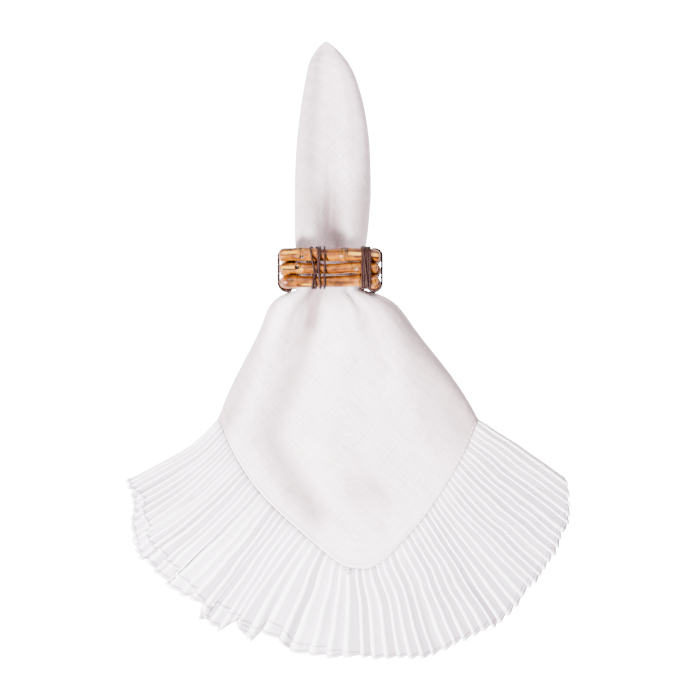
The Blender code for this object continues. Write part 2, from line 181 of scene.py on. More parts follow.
# y, left x, right x, lower z and upper z of the middle of the four layers, from tip to hem
levels = np.array([
    (189.5, -14.7, -14.7, 1.7, 9), (187.8, -16.6, -12.7, 1.7, 9.2), (184.5, -18.9, -9.4, 1.7, 9.5),
    (176.7, -22, -4.4, 1.7, 10.2), (164.3, -24.6, 1.5, 1.7, 11), (140, -28.3, 7.3, 1.7, 12.6),
    (121, -30, 9.3, 1.7, 15), (97.4, -30.8, 9.8, 2.6, 21), (79, -30.6, 8.6, 7, 29),
    (66, -30.2, 7.2, 12, 34.6), (60, -29.6, 6.2, 13.2, 35.4), (35, -29.4, 5.8, 13.2, 35.4),
    (24, -36, 14, 8.6, 31), (4, -50, 34, 2.4, 22), (-18, -64, 55, 1.7, 14.5),
    (-41, -77.5, 75.5, 1.5, 9.4), (-107, -77.5, 75.5, 1.5, 8), (-131, -77.5, 75.5, 1.5, 4),
    (-150, -77.5, 75.5, 1.5, 2.2), (-190, -77.5, 75.5, 1.5, 1.6)])

# share across the front, seam x, seam y
seamLine = np.array([
    (-1, -79.5, -42), (-0.86, -75, -53.5), (-0.73, -70, -64.5), (-0.53, -58.2, -83),
    (-0.37, -44.1, -98.3), (-0.23, -30.2, -111), (-0.12, -17.4, -122), (-0.05, -8, -129.6),
    (0, -1.2, -133), (0.08, 10, -134.3), (0.16, 20, -129.6), (0.27, 31.9, -117.8), (0.45, 47.2, -99.5),
    (0.65, 60, -79.9), (0.84, 70.6, -60.9), (1, 77.5, -43)])

# share across the front, x and y of the upper layer's hem, with its jogs
hemLine = np.array([
    (-1, -136.5, -79.5), (-0.94, -134.5, -84), (-0.87, -127.3, -90.5), (-0.8, -126.7, -99.5),
    (-0.725, -124.2, -109.2), (-0.712, -127.3, -111.7), (-0.63, -121.8, -120.3), (-0.618, -117.5, -120.9),
    (-0.57, -113.2, -128.8), (-0.505, -107.1, -134.3), (-0.492, -107.7, -136.8), (-0.42, -96.1, -147.8),
    (-0.36, -88.1, -158.2), (-0.347, -83.2, -155.1), (-0.28, -73.4, -162.5), (-0.23, -66.7, -164.3),
    (-0.215, -66.4, -167), (-0.178, -58.4, -171.2), (-0.165, -50.6, -166.4), (-0.12, -40.4, -174.1),
    (-0.108, -37.5, -179), (-0.08, -29, -182.3), (-0.02, -9.8, -185.3), (0.03, 6.1, -188),
    (0.08, 18, -188.6), (0.16, 36.1, -188.8), (0.21, 46.5, -187.6), (0.265, 59.4, -182.7),
    (0.31, 67.3, -178.6), (0.4, 84.5, -170.4), (0.43, 88.7, -169), (0.49, 99.1, -159.4),
    (0.57, 109.5, -145.4), (0.64, 116.3, -136.8), (0.74, 124.8, -123.9), (0.83, 129.1, -109.9),
    (0.845, 132.5, -107.5), (0.92, 134.5, -95), (0.93, 132.5, -92.1), (0.97, 133, -85.4), (1, 131, -78)])

# share across the front, how far the layers beneath stand out beyond the upper hem
underHem = np.array([
    (-1, 0), (-0.89, 0), (-0.865, 6.5), (-0.8, 8), (-0.73, 11.5), (-0.7, 7), (-0.65, 9), (-0.6, 10.5),
    (-0.54, 9), (-0.5, 9.5), (-0.42, 7), (-0.375, 0.6), (-0.345, 1.5), (-0.33, 10.5), (-0.3, 12.5),
    (-0.27, 12), (-0.235, 4), (-0.19, 2), (-0.16, 8.5), (-0.12, 6), (-0.08, 4.8), (-0.02, 4), (0.04, 0.6),
    (0.2, 0), (0.5, 0.6), (0.85, 1), (1, 0)])

# share across the front, how far each pleat bows sideways between seam and hem
pleatBow = np.array([
    (-1, 4.2), (-0.9, 3.6), (-0.75, 2.6), (-0.5, 1.6), (-0.2, -1), (0, 0.6), (0.3, 1.8), (0.6, -1.6),
    (0.85, -0.4), (1, 0.8)])

# share at the ring, share at the hem, half width, depth, y where deepest, reach up and down
creases = (
    (0.02, 0.02, 0.4, 7.5, 54, 40, 12), (0.02, 0.02, 0.22, 2.2, 66, 46, 10),
    (-0.5, -0.62, 0.13, 2.6, 30, 14, 34), (0.5, 0.42, 0.12, 2.4, 26, 14, 30))

# soft folds on the fan: depth and half width, then the points of a line in plan
softFolds = (
    (3.0, 10.5, ((-22.5, 31), (-26, 12), (-31, -6), (-38, -25), (-45, -40), (-47, -53), (-40, -69),
                 (-30, -84), (-20, -99))),
    (2.0, 5.0, ((-21.4, 40), (-21.4, 24), (-25.5, 6))),
    (1.2, 6.0, ((4, 39), (18.5, 12), (25, -10))),
    (-1.6, 13.0, ((-8, 30), (-6, -10), (-12, -50), (-6, -90))),
    (1.3, 8.0, ((34, 12), (44, -18), (52, -50))),
    (-0.9, 10.0, ((-52, 0), (-62, -30), (-66, -52))),
    (0.9, 4.0, ((-36, -84), (-20, -92), (-2, -104))),
    (0.8, 3.6, ((14, -78), (26, -92), (22, -108))),
    (-0.5, 5.0, ((-14, -60), (6, -72), (24, -70))))

# the four layers, from the top down, and how each one turns into the next:
# which edge, middle and radius of the turn in layer pitches, and its sense
layerOffsets = (1.5, 0.5, -0.5, -1.5)
layerTurns = ((1, 1.0, 0.5, 1), (-1, 0.0, 0.5, 1), (1, -1.0, 0.5, 1), (-1, 0.0, 1.5, -1))


def stadium(lane, half, radius):
    # flattened loop: along the top, round a quarter circle twice, back along the underside
    # gives the share across, from -1 to 1, and the height from 0 below to 1 on top
    side = np.abs(lane)
    roundest = 0.92
    radius = np.minimum(radius, roundest * half)
    straight = half - radius
    bend = radius * pi / 2
    top = np.clip(side / cloth["frontShare"], 0, 1) * (straight + bend)
    under = np.clip((side - cloth["frontShare"]) / (1 - cloth["frontShare"]), 0, 1) * (bend + straight)
    turn = np.clip((top - straight) / radius, 0, pi / 2) + np.clip(under / radius, 0, pi / 2)
    place = np.minimum(top, straight) + radius * np.sin(turn) - np.maximum(under - bend, 0)
    return np.sign(lane) * place / half, 0.5 + 0.5 * np.cos(turn)


def nearLine(x, y, points):
    # shortest distance in plan to a line of points
    best = np.full(np.broadcast(x, y).shape, 1e9)
    for (ax, ay), (bx, by) in zip(points[:-1], points[1:]):
        runX, runY = bx - ax, by - ay
        share = np.clip(((x - ax) * runX + (y - ay) * runY) / (runX ** 2 + runY ** 2), 0, 1)
        best = np.minimum(best, np.hypot(x - ax - share * runX, y - ay - share * runY))
    return best


def ripples(x, y, seed, count, shortest, longest):
    # sum of slanting waves of seeded length, heading and start, scaled to about one
    random = np.random.default_rng(seed)
    total = np.zeros(np.broadcast(x, y).shape)
    lowest, highest = (shortest, 0, 0, 0), (longest, pi, 2 * pi, 2 * pi)
    for length, heading, start, tilt in random.uniform(lowest, highest, (count, 4)):
        run = x * np.cos(heading) + y * np.sin(heading)
        side = y * np.cos(heading) - x * np.sin(heading)
        fading = 0.6 + 0.4 * np.sin(2 * pi * side / (3.1 * length) + tilt)
        total += np.sin(2 * pi * run / length + start) * fading
    return total / np.sqrt(count)


def foldDepth(share, x, y, spread):
    # troughs from the ring as bells across the front, then the soft folds as bells round plan lines
    depth = np.zeros_like(y)
    for atRing, atHem, width, deep, peak, above, below in creases:
        middle = atRing + (atHem - atRing) * spread
        reach = np.where(y > peak, above, below)
        depth += deep * np.exp(-np.abs((share - middle) / width) ** 3 - ((y - peak) / reach) ** 2)
    fan = smoothStep(*cloth["fanBegins"], y)
    for deep, width, points in softFolds:
        depth += deep * fan * bell(nearLine(x, y, points), width)
    return depth


def folded(station, lane):
    # middle of the stack: stations 0 to 1 run from tip to ring, 1 to 2 from ring to seam
    # plan: the outline's edges by share across, blended into the seam's line; height: low to high by loop
    tongue = cloth["tipY"] - cloth["exitY"]
    distance = np.clip(station, 0, 1) * tongue
    spread = np.clip(station - 1, 0, 1)
    shrink = np.clip(distance / cloth["taper"], 0, 1) ** 0.7
    gap = cloth["gap"] * shrink
    seamShare, _ = stadium(lane, cloth["seamHalf"], cloth["roll"])
    onFront = np.abs(lane) <= cloth["frontShare"]
    left = lane < 0
    endY = np.where(left, seamLine[0, 2], seamLine[-1, 2])
    flankY = cloth["flankSeam"][1] + (endY - cloth["flankSeam"][1]) * np.abs(seamShare)
    seamY = np.where(onFront, smoothRead(seamLine, 2, seamShare), flankY)
    y = cloth["tipY"] - distance + (seamY - cloth["exitY"]) * spread

    edgeLeft, edgeRight, low, high = (smoothRead(levels, i, y) for i in (1, 2, 3, 4))
    edgeLeft = edgeLeft - cloth["fuller"] * shrink
    edgeRight = edgeRight + cloth["fuller"] * shrink
    half = np.maximum((edgeRight - edgeLeft) / 2, 0.2)
    share, rise = stadium(lane, half, shrink * (high - low) / 2 + 0.01)
    apart = np.where(onFront, share, np.sign(lane) * (gap + (half - gap) * np.abs(share)) / half)
    ringLeft = smoothRead(levels, 1, np.array(cloth["exitY"])) - cloth["fuller"]
    ringRight = smoothRead(levels, 2, np.array(cloth["exitY"])) + cloth["fuller"]
    ringHalf = (ringRight - ringLeft) / 2
    ringApart = np.where(onFront, share, np.sign(lane) * (gap + (ringHalf - gap) * np.abs(share)) / ringHalf)
    ringX = (ringLeft + ringRight) / 2 + ringHalf * ringApart
    endX = np.where(left, seamLine[0, 1], seamLine[-1, 1])
    innerX = cloth["flankSeam"][0] + np.sign(lane) * gap
    seamX = np.where(onFront, smoothRead(seamLine, 1, share), innerX + (endX - innerX) * np.abs(share))
    begun = spread / cloth["shoulderAt"]
    flare = np.where(share < 0, *cloth["shoulders"]) * begun * np.exp(1 - begun)
    shoulder = share * (flare + np.where(share < 0, *cloth["bows"]) * 4 * spread * (1 - spread))
    onTongue = (edgeLeft + edgeRight) / 2 + half * apart
    x = np.where(station <= 1, onTongue, ringX + (seamX - ringX) * spread + shoulder)
    x = x + cloth["mouth"] * bell(y - cloth["mouthY"], cloth["mouthReach"]) * share

    up = np.clip(2 * rise - 1, 0, 1)
    z = low + (high - low) * rise - foldDepth(share, x, y, spread) * up
    z = cloth["tipZ"] + (z - cloth["tipZ"]) * shrink
    calm = smoothStep(0, 8, distance) * (1 - 0.75 * smoothStep(0.93, 1.0, spread))
    z = z + unevenness[0] * ripples(x, y, *unevenness[1]) * up * calm
    # the underside, bunched in the ring, spreads in waves that die out at the seam
    tall, waves = cloth["underWaves"]
    wavy = np.clip(1 - 2 * rise, 0, 1) * smoothStep(0.1, 0.9, spread) * (1 - smoothStep(0.94, 1, spread))
    z = z + tall * np.cos(2 * pi * np.abs(share) * waves) * wavy
    return np.stack([x, y, z], axis=-1)


def layerWalk(lanesByLayer, turnSteps):
    # round the four layers: lane, offset, shift past the fold, flat angle, with half circles between
    steps = []
    for layer, (offset, lanes) in enumerate(zip(layerOffsets, lanesByLayer)):
        way = 1 if layer % 2 == 0 else -1
        walked = lanes[::way]
        angle = layer * 90 + 45 + 45 * way * walked
        steps.append(np.stack([walked, np.full_like(walked, offset), 0 * walked, angle], axis=-1))
        edge, middle, radius, spin = layerTurns[layer]
        swing = np.linspace(pi / 2, -pi / 2, turnSteps + 2)[1:-1]
        rise = middle + radius * np.sin(swing) * spin
        run = edge * radius * np.cos(swing)
        steps.append(np.stack([0 * run + edge, rise, run, 0 * run + (layer + 1) * 90], axis=-1))
    return np.concatenate(steps)


def stackPlaces(surface, rows, steps, thin):
    # each layer stands off the middle of the stack along its normal, by its offset times the pitch
    row = np.repeat(rows[:, None], len(steps), axis=1)
    lane = np.repeat(steps[None, :, 0], len(rows), axis=0)
    small = 2e-4
    inner = np.clip(lane, -1 + small, 1 - small)
    middle = surface(row, lane)
    along = surface(np.minimum(row + small, rows[-1]), inner) - surface(row - small, inner)
    cross = unit(surface(row, inner + small) - surface(row, inner - small))
    normal = unit(np.cross(along, cross))
    scale = thin(row)[..., None] * cloth["pitch"]
    return middle + scale * (steps[None, :, 1, None] * normal + steps[None, :, 2, None] * cross)


def bandMesh(name, places, thickness, material, flat, marks=None):
    # two skins half a thickness either side of the sheet, with a rim along both borders
    along = np.gradient(places, axis=0)
    cross = np.roll(places, -1, axis=1) - np.roll(places, 1, axis=1)
    normal = unit(np.cross(along, cross))
    rows, columns = places.shape[:2]
    outer = places + normal * thickness[..., None] / 2
    inner = places - normal * thickness[..., None] / 2
    count = rows * columns
    number = np.arange(count).reshape(rows, columns)
    ahead = np.roll(number, -1, axis=1)
    faces = gridFaces(rows, columns)
    firstRim = np.stack([number[0], ahead[0], ahead[0] + count, number[0] + count], axis=-1)
    lastRim = np.stack([number[-1] + count, ahead[-1] + count, ahead[-1], number[-1]], axis=-1)
    allFaces = np.concatenate([faces, faces[:, ::-1] + count, firstRim, lastRim])
    points = np.concatenate([outer.reshape(-1, 3), inner.reshape(-1, 3)])
    points[:, 2] = np.maximum(points[:, 2], 0.02)
    doubled = {key: np.concatenate([value.ravel(), value.ravel()]) for key, value in (marks or {}).items()}
    return putMesh(name, points, allFaces, material, np.concatenate([flat.reshape(-1, 2)] * 2), doubled)


def threadMaterial(name, light, dark, settings):
    # woven linen: long thin noise along both thread directions for slubs, cloudy noise for fine creasing
    material, tree, shader = newMaterial(name, Roughness=settings["rough"], Sheen_Weight=settings["sheen"],
                                         Sheen_Roughness=0.5, Specular_IOR_Level=0.15)
    spot = addNode(tree, "UVMap", uv_map="flat")
    streaks = []
    for scale in ((settings["long"], settings["fine"], 1.0), (settings["fine"], settings["long"], 1.0)):
        stretch = addNode(tree, "Mapping", {"Vector": (spot, "UV"), "Scale": scale})
        streaks.append(addNode(tree, "TexNoise", {
            "Vector": (stretch, "Vector"), "Scale": 1.0, "Detail": 2.0, "Roughness": 0.55}))
    both = {0: (streaks[0], "Fac"), 1: (streaks[1], "Fac")}
    woven = addNode(tree, "Math", both, operation="ADD")
    halved = addNode(tree, "Math", {0: (woven, "Value"), 1: 0.5}, operation="MULTIPLY")
    tone = addNode(tree, "MapRange", {
        "Value": (halved, "Value"), "From Min": 0.36, "From Max": 0.64})
    colour = addNode(tree, "Mix", {
        "Factor": (tone, "Result"), 6: fromHex(dark), 7: fromHex(light)}, data_type="RGBA")
    # painted shade: the deep colour mixed in by this mark stands for the soft shade that little light
    # reaches, in folds, on sides turned from the light and in the ring's shadow
    hollow = addNode(tree, "Attribute", attribute_name="hollow")
    shaded = addNode(tree, "Mix", {
        "Factor": (hollow, "Fac"), 6: (colour, 2), 7: fromHex(settings["deep"])}, data_type="RGBA")
    tree.links.new(shaded.outputs[2], shader.inputs["Base Color"])
    cloud = addNode(tree, "TexNoise", {
        "Vector": (spot, "UV"), "Scale": settings["cloud"], "Detail": 3.0})
    crumple = addNode(tree, "TexNoise", {
        "Vector": (spot, "UV"), "Scale": settings["cloud"] * 3.7, "Detail": 2.0})
    soft = addNode(tree, "Bump", {
        "Height": (cloud, "Fac"), "Strength": settings["creaseBump"], "Distance": 0.0016})
    creasing = addNode(tree, "Bump", {
        "Height": (crumple, "Fac"), "Strength": settings["creaseBump"] * 0.6, "Distance": 0.0005,
        "Normal": (soft, "Normal")})
    weave = addNode(tree, "Bump", {
        "Height": (halved, "Value"), "Strength": settings["weaveBump"], "Distance": 0.00018,
        "Normal": (creasing, "Normal")})
    tree.links.new(weave.outputs["Normal"], shader.inputs["Normal"])
    return material


# linen: matt, faintly streaked by uneven threads; the ruffle is a cooler, smoother cloth; deep is the colour
# of their painted shade
panelLinen = threadMaterial("washedLinen", "#EDDDE1", "#D2C0C4", {
    "rough": 0.9, "sheen": 0.12, "deep": "#6E5457", "long": 34.0, "fine": 950.0, "cloud": 70.0,
    "creaseBump": 0.8, "weaveBump": 0.8})
ruffleLinen = threadMaterial("pleatedLinen", "#FBF6FB", "#EFE7F0", {
    "rough": 0.85, "sheen": 0.1, "deep": "#8C7A88", "long": 90.0, "fine": 2200.0, "cloud": 90.0,
    "creaseBump": 0.12, "weaveBump": 0.25})
# cotton sewing thread: matt and nearly white
threadWhite = fromHex("#F3EEE9")
seamThread, _, _ = newMaterial("cottonThread", Base_Color=threadWhite, Roughness=0.8, Sheen_Weight=0.1)

# rows run from tip to ring, close together at the tip, and on to the seam; lanes run round each layer
tongueLength = cloth["tipY"] - cloth["exitY"]
nearTip = np.array([0.25, 0.6, 1.2, 2.0, 3.0, 4.2, 5.6, 7.2, 9.0, 11.0, 13.2, 15.6])
tongueRows = np.concatenate([nearTip, np.linspace(15.6, tongueLength, 42)[1:]]) / tongueLength
fanRows = 1 + np.concatenate([np.linspace(0, 0.965, 42)[1:], [0.978, 0.986, 0.989, 1.0]])
panelRows = np.concatenate([tongueRows, fanRows])
frontShare = cloth["frontShare"]
fineHalf = np.concatenate([np.linspace(0, 0.38, 39), np.linspace(0.39, 0.55, 15), np.linspace(0.58, 1, 15)])
plainHalf = np.concatenate([np.linspace(0, 0.38, 20), np.linspace(0.4, 0.54, 9), np.linspace(0.58, 1, 13)])
fineLanes = np.concatenate([-fineHalf[:0:-1], fineHalf])
plainLanes = np.concatenate([-plainHalf[:0:-1], plainHalf])
panelSteps = layerWalk((fineLanes, plainLanes, plainLanes, plainLanes), 3)


def tipThin(station):
    # the layers lie closer toward the tip
    return np.clip(station * tongueLength / cloth["taper"], 0.03, 1)


def flatSpots(rows, steps):
    # on the flat square: out from its centre by the length walked, at the step's own angle
    angle = np.radians(steps[None, :, 3])
    reach = cloth["side"] / 2 / np.maximum(np.abs(np.cos(angle)), np.abs(np.sin(angle)))
    distance = np.clip(rows, 0, 1)[:, None] * tongueLength
    distance = distance + np.clip(rows - 1, 0, 1)[:, None] * (reach - tongueLength)
    return np.stack([distance * np.cos(angle), distance * np.sin(angle)], axis=-1)


# painted shade where little light reaches, in the fan's folds, and painted shadow of the ring beside it: in
# plan, share of the deep colour and half width in mm, then points
paintedShadeLines = (
    (0.44, 8.5, softFolds[0][2]), (0.38, 4.2, ((-21.4, 38), (-21.4, 24), (-23.5, 15))),
    (0.28, 13.0, ((6, -85), (16, -87))), (0.14, 14.0, ((-30, 46), (8, 46))),
    (0.46, 5.5, ((-31, 64), (-30, 64))), (0.06, 4.5, ((-3, 64), (-2, 64))),
    (0.14, 6.0, ((4, 39), (18.5, 12))), (0.28, 5.5, ((-17, 35), (-11, 31), (-2, 35))))

# painted shade on flanks and edges turned from the light: share of the deep colour, and the shares across
# where it begins and is full
# others in pairs: the y where the shade is none and where it is full
paintedShading = {
    "foldDeep": 24, "foldMost": 0.4, "most": 0.85, "seam": (0.35, 1.984, 0.004),
    "leftFlank": (0.48, 0.2, 0.6), "rightFlank": (0.3, 0.3, 0.6), "flankRing": (62, 76),
    "flankTip": (190, 176), "channel": (0.54, 0.08, 0.33), "channelTip": (114, 76), "channelRing": (54, 80),
    "leftEdge": (0.58, 0.72, 0.92), "leftBelow": (-66, -40), "rightEdge": (0.58, 0.5, 0.88),
    "rightBelow": (-90, -45), "edgeRing": (36, 26)}


def paintedFlankShade(share, left, right):
    # painted shade that grows toward the two edges, each side by its own settings
    side = np.abs(share)
    leftShade = left[0] * smoothStep(*left[1:], side)
    return np.where(share < 0, leftShade, right[0] * smoothStep(*right[1:], side))


def paintedShadeOfPanel(rows, steps, places):
    # painted shade: darker colour from the depth of the folds, on surfaces turned from the light, near the
    # ring where its shadow falls and inside the seam
    row = np.repeat(rows[:, None], len(steps), axis=1)
    lane = np.repeat(steps[None, :, 0], len(rows), axis=0)
    x, y = places[..., 0], places[..., 1]
    half = (smoothRead(levels, 2, y) - smoothRead(levels, 1, y)) / 2
    share, rise = stadium(lane, np.maximum(half, 1), 3.0)
    depth = foldDepth(share, x, y, np.clip(row - 1, 0, 1))
    shade = np.clip(depth / paintedShading["foldDeep"], 0, paintedShading["foldMost"])
    tongue = smoothStep(*paintedShading["flankRing"], y) * smoothStep(*paintedShading["flankTip"], y)
    shade += tongue * paintedFlankShade(share, paintedShading["leftFlank"], paintedShading["rightFlank"])
    dark, middle, width = paintedShading["channel"]
    channel = smoothStep(*paintedShading["channelTip"], y) * smoothStep(*paintedShading["channelRing"], y)
    shade += dark * bell(share - middle, width) * channel
    below = np.where(share < 0, smoothStep(*paintedShading["leftBelow"], y), smoothStep(*paintedShading["rightBelow"], y))
    edges = paintedFlankShade(share, paintedShading["leftEdge"], paintedShading["rightEdge"]) * below
    shade += edges * smoothStep(*paintedShading["edgeRing"], y)
    for dark, width, points in paintedShadeLines:
        shade += dark * bell(nearLine(x, y, points), width)
    dark, middle, width = paintedShading["seam"]
    seam = dark * bell(row - middle, width)
    return np.clip(shade, 0, paintedShading["most"]) * (rise > 0.5) + seam


panelPlaces = stackPlaces(folded, panelRows, panelSteps, tipThin)
edgeThick = 1 + 0.9 * (panelRows > 1.9855)  # the rows next to the seam are nearly twice as thick
rowThickness = cloth["thin"] * edgeThick * np.clip(tipThin(panelRows), 0.2, 1)
panelThickness = rowThickness[:, None] * np.ones(len(panelSteps))
# painted shade for the panel: folds, sides turned from the light, the ring's shadow and the seam
panelPaintedShade = paintedShadeOfPanel(panelRows, panelSteps, panelPlaces)
panelFlat = flatSpots(panelRows, panelSteps)
napkinPanel = bandMesh(
    "napkinPanel", panelPlaces, panelThickness, panelLinen, panelFlat, {"hollow": panelPaintedShade})
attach(napkinPanel, "root")
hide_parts("linen_panel")
print("panel", len(napkinPanel.data.polygons) * 2)

# The ruffle, pleated strips sewn all round the square.
# perHalf: pleats each side of the middle; uneven, widthJitter, toothRandom, shadeRandom: random shares
# layerShift and layerShares: how each layer's hem differs from that of the second
# waver and flutter: height in mm, then seed, count, shortest and longest wave
ruffle = {
    "perHalf": 68, "seamHeight": 1.6, "hemHeight": 3.1, "uneven": 0.16, "widthJitter": 0.10, "seed": 5,
    "hemThick": 2.1, "hemTooth": 1.5, "toothRandom": 0.7, "shadeRandom": 0.35, "layerShift": 0.012,
    "layerShares": (0, 1, 0.62, 0.8), "waver": (0.9, (23, 7, 22, 60)), "flutter": (0.5, (31, 6, 26, 70))}
ruffleRows = np.array([0, 0.014, 0.05, 0.12, 0.22, 0.34, 0.46, 0.58, 0.7, 0.81, 0.9, 0.955, 0.97, 0.976, 1])
# painted shade on each row: under the seam and along the inner edge of the rolled hem
rowPaintedShade = np.interp(ruffleRows, (0, 0.014, 0.05, 0.955, 0.970, 0.976), (0.4, 0.15, 0.0, 0.0, 0.6, 0.0))

# share of the pleat's width and of its height, from valley over the folded edge and down the long face,
# and the painted shade there, darkest in the valley and down the long face
finePleat = np.array([
    (0, 0, 1), (0.03, 0.35, 0.75), (-0.04, 0.8, 0.05), (0, 0.98, 0), (0.2, 1, 0), (0.3, 0.86, 0.42),
    (0.62, 0.42, 0.46), (0.9, 0.1, 0.62)])
plainPleat = np.array([(0, 0, 1), (-0.03, 0.85, 0.1), (0.14, 1, 0), (0.38, 0.7, 0.44), (0.84, 0.14, 0.6)])

# where a group of pleats laps over the next: share across the front, then at the hem the shift to the
# right and the lift
overlaps = np.array([
    (-1, 0, 0), (-0.82, 0, 0.3), (-0.728, 3, 2.6), (-0.712, -1.6, 0), (-0.66, 0, 0.2), (-0.626, 1.6, 1.6),
    (-0.615, -1, 0), (-0.54, 0.4, 0.2), (-0.5, 2.6, 2.2), (-0.488, -1.4, 0), (-0.4, 0.4, 0.4),
    (-0.355, 2.6, 2.4), (-0.343, -1.4, 0), (-0.26, 0, 0.2), (-0.218, -1.6, 2), (-0.176, 2.6, 2.6),
    (-0.163, -1, 0), (-0.115, 1.2, 1.4), (-0.104, -0.8, 0), (0, 0, 0), (0.22, 0.8, 0.8), (0.235, -0.5, 0),
    (0.42, 1, 1), (0.438, -0.5, 0), (0.835, 0.6, 0.8), (0.85, -0.5, 0), (1, 0, 0)])


def pleatWalk():
    # columns round every layer: lane, height share, painted shade, pleat number, offset, shift past the
    # fold, layer
    random = np.random.default_rng(ruffle["seed"])
    count = 2 * ruffle["perHalf"]
    edges = (np.arange(count + 1) - ruffle["perHalf"]) / ruffle["perHalf"]
    edges[1:-1] += random.uniform(-1, 1, count - 1) * ruffle["widthJitter"] / ruffle["perHalf"]
    columns = []
    for layer, offset in enumerate(layerOffsets):
        way = 1 if layer % 2 == 0 else -1
        parts = []
        for pleat in range(count):
            middle = (edges[pleat] + edges[pleat + 1]) / 2
            shape = finePleat if layer == 0 and abs(middle) < 0.5 else plainPleat
            lane = edges[pleat] + shape[:, 0] * (edges[pleat + 1] - edges[pleat])
            lane = np.clip(lane, -1, 1)
            parts.append(np.stack([lane, shape[:, 1], shape[:, 2], 0 * lane + pleat], axis=-1))
        walked = np.concatenate(parts + [np.array([[1.0, 0.0, 1.0, count - 1]])])[::way]
        extra = np.tile((offset, 0.0, layer), (len(walked), 1))
        columns.append(np.concatenate([walked, extra], axis=1))
        edge, middle, radius, spin = layerTurns[layer]
        for swing in np.linspace(pi / 2, -pi / 2, 4)[1:-1]:
            rise = middle + radius * np.sin(swing) * spin
            run = edge * radius * np.cos(swing)
            columns.append(np.array([(edge, 0.0, 1.0, 0.0, rise, run, layer)]))
    return np.concatenate(columns), random.uniform(-1, 1, (3, count))


walk, pleatRandom = pleatWalk()
ruffleLane, pleatHeight, pleatPaintedShade, pleatNumber, layerOffset, layerShift, layerOf = walk.T
seamSteps = np.stack([ruffleLane, layerOffset, layerShift], axis=-1)
seamPlaces = stackPlaces(folded, np.array([1.998, 2.0]), seamSteps, np.ones_like)[1]


def hemPlan(lane, layer):
    # front lanes follow the hem's table, further out on the layers beneath; flank lanes turn to point down
    share, rise = stadium(lane, cloth["hemHalf"], cloth["roll"])
    left = lane < 0
    end = np.where(left[:, None], hemLine[0, 1:3], hemLine[-1, 1:3])
    seamEnd = np.where(left[:, None], seamLine[0, 1:3], seamLine[-1, 1:3])
    front = np.stack([np.interp(share, hemLine[:, 0], hemLine[:, i]) for i in (1, 2)], axis=-1)
    seam = np.stack([smoothRead(seamLine, i, share) for i in (1, 2)], axis=-1)
    away = unit(front - seam)
    beyond = np.interp(share + ruffle["layerShift"] * layer, underHem[:, 0], underHem[:, 1])
    beyond = beyond * np.choose(layer.astype(int), ruffle["layerShares"])
    front = front + away * beyond[:, None]
    outward = np.arctan2(end[:, 1] - seamEnd[:, 1], end[:, 0] - seamEnd[:, 0])
    endLength = np.linalg.norm(end - seamEnd, axis=-1)
    turned = -pi / 2 + (outward + pi / 2) * np.abs(share)
    length = cloth["strip"] + (endLength - cloth["strip"]) * share ** 2
    inner = np.array(cloth["flankSeam"]) + np.sign(lane)[:, None] * np.array([cloth["gap"], 0.0])
    start = inner + (seamEnd - inner) * np.abs(share)[:, None]
    flank = start + length[:, None] * np.stack([np.cos(turned), np.sin(turned)], axis=-1)
    onFront = np.abs(lane) <= frontShare
    return np.where(onFront[:, None], front, flank), rise, share, onFront


def restingHeight(y, rise, onFront):
    # height of the cloth beneath, from low to high by the loop, and lower on the flanks
    low = smoothRead(levels, 3, y)
    high = np.where(onFront, smoothRead(levels, 4, y), low + cloth["underFront"])
    return low + (high - low) * rise


def rufflePlaces():
    # lines from seam to hem in plan, bowed sideways, lying on what is below, with the pleats raised on them
    hem, hemRise, hemShare, onFront = hemPlan(ruffleLane, layerOf)
    _, seamRise = stadium(ruffleLane, cloth["seamHalf"], cloth["roll"])
    away = unit(hem - seamPlaces[:, :2])
    sideways = np.stack([-away[:, 1], away[:, 0]], axis=-1)
    start = seamPlaces[:, :2] + 0.12 * away
    out = ruffleRows[:, None]
    bow = smoothRead(pleatBow, 1, hemShare) * np.where(onFront, 1.0, np.abs(hemShare) ** 2)
    plan = start + (hem - start) * out[..., None]
    arch = (4 * out * (1 - out) * (1.25 - 0.5 * out) * bow)[..., None]
    plan = plan + arch * sideways
    size, waves = ruffle["waver"]
    waver = ripples(plan[..., 0], plan[..., 1], *waves) * np.sin(pi * out) ** 0.8 * size
    plan = plan + waver[..., None] * sideways
    pleat = pleatNumber.astype(int)
    grow = ruffle["seamHeight"] + (ruffle["hemHeight"] - ruffle["seamHeight"]) * out
    begin = 0.15 + 0.85 * smoothStep(0, 0.07, out)
    tall = grow * begin * (1 + ruffle["uneven"] * pleatRandom[0, pleat]) * pleatHeight
    tooth = ruffle["hemTooth"] * (pleatHeight - 0.5) + ruffle["toothRandom"] * pleatRandom[1, pleat]
    plan = plan + (smoothStep(0.85, 1, out) * tooth)[..., None] * away
    rise = seamRise + (hemRise - seamRise) * out
    rest = restingHeight(plan[..., 1], rise, onFront)
    settled = seamPlaces[:, 2] - restingHeight(start[:, 1], seamRise, onFront) - layerOffset * cloth["pitch"]
    height = rest + layerOffset * cloth["pitch"] + settled * np.clip(1 - 2 * out, 0, 1)
    plan = plan + (np.interp(hemShare, overlaps[:, 0], overlaps[:, 1]) * out ** 2)[..., None] * sideways
    tall = tall + np.interp(hemShare, overlaps[:, 0], overlaps[:, 2]) * out ** 1.5 * onFront
    size, waves = ruffle["flutter"]
    flutter = size * ripples(plan[..., 0], plan[..., 1], *waves) * smoothStep(0.1, 1, out)
    flutter = flutter * np.clip(rise * 2, 0.1, 1)
    return np.concatenate([plan, (height + tall + flutter)[..., None]], axis=-1)


placesOfRuffle = rufflePlaces()
# the first row lies level with the seam and just beneath it
placesOfRuffle[0, :, 2] = seamPlaces[:, 2] - 0.08
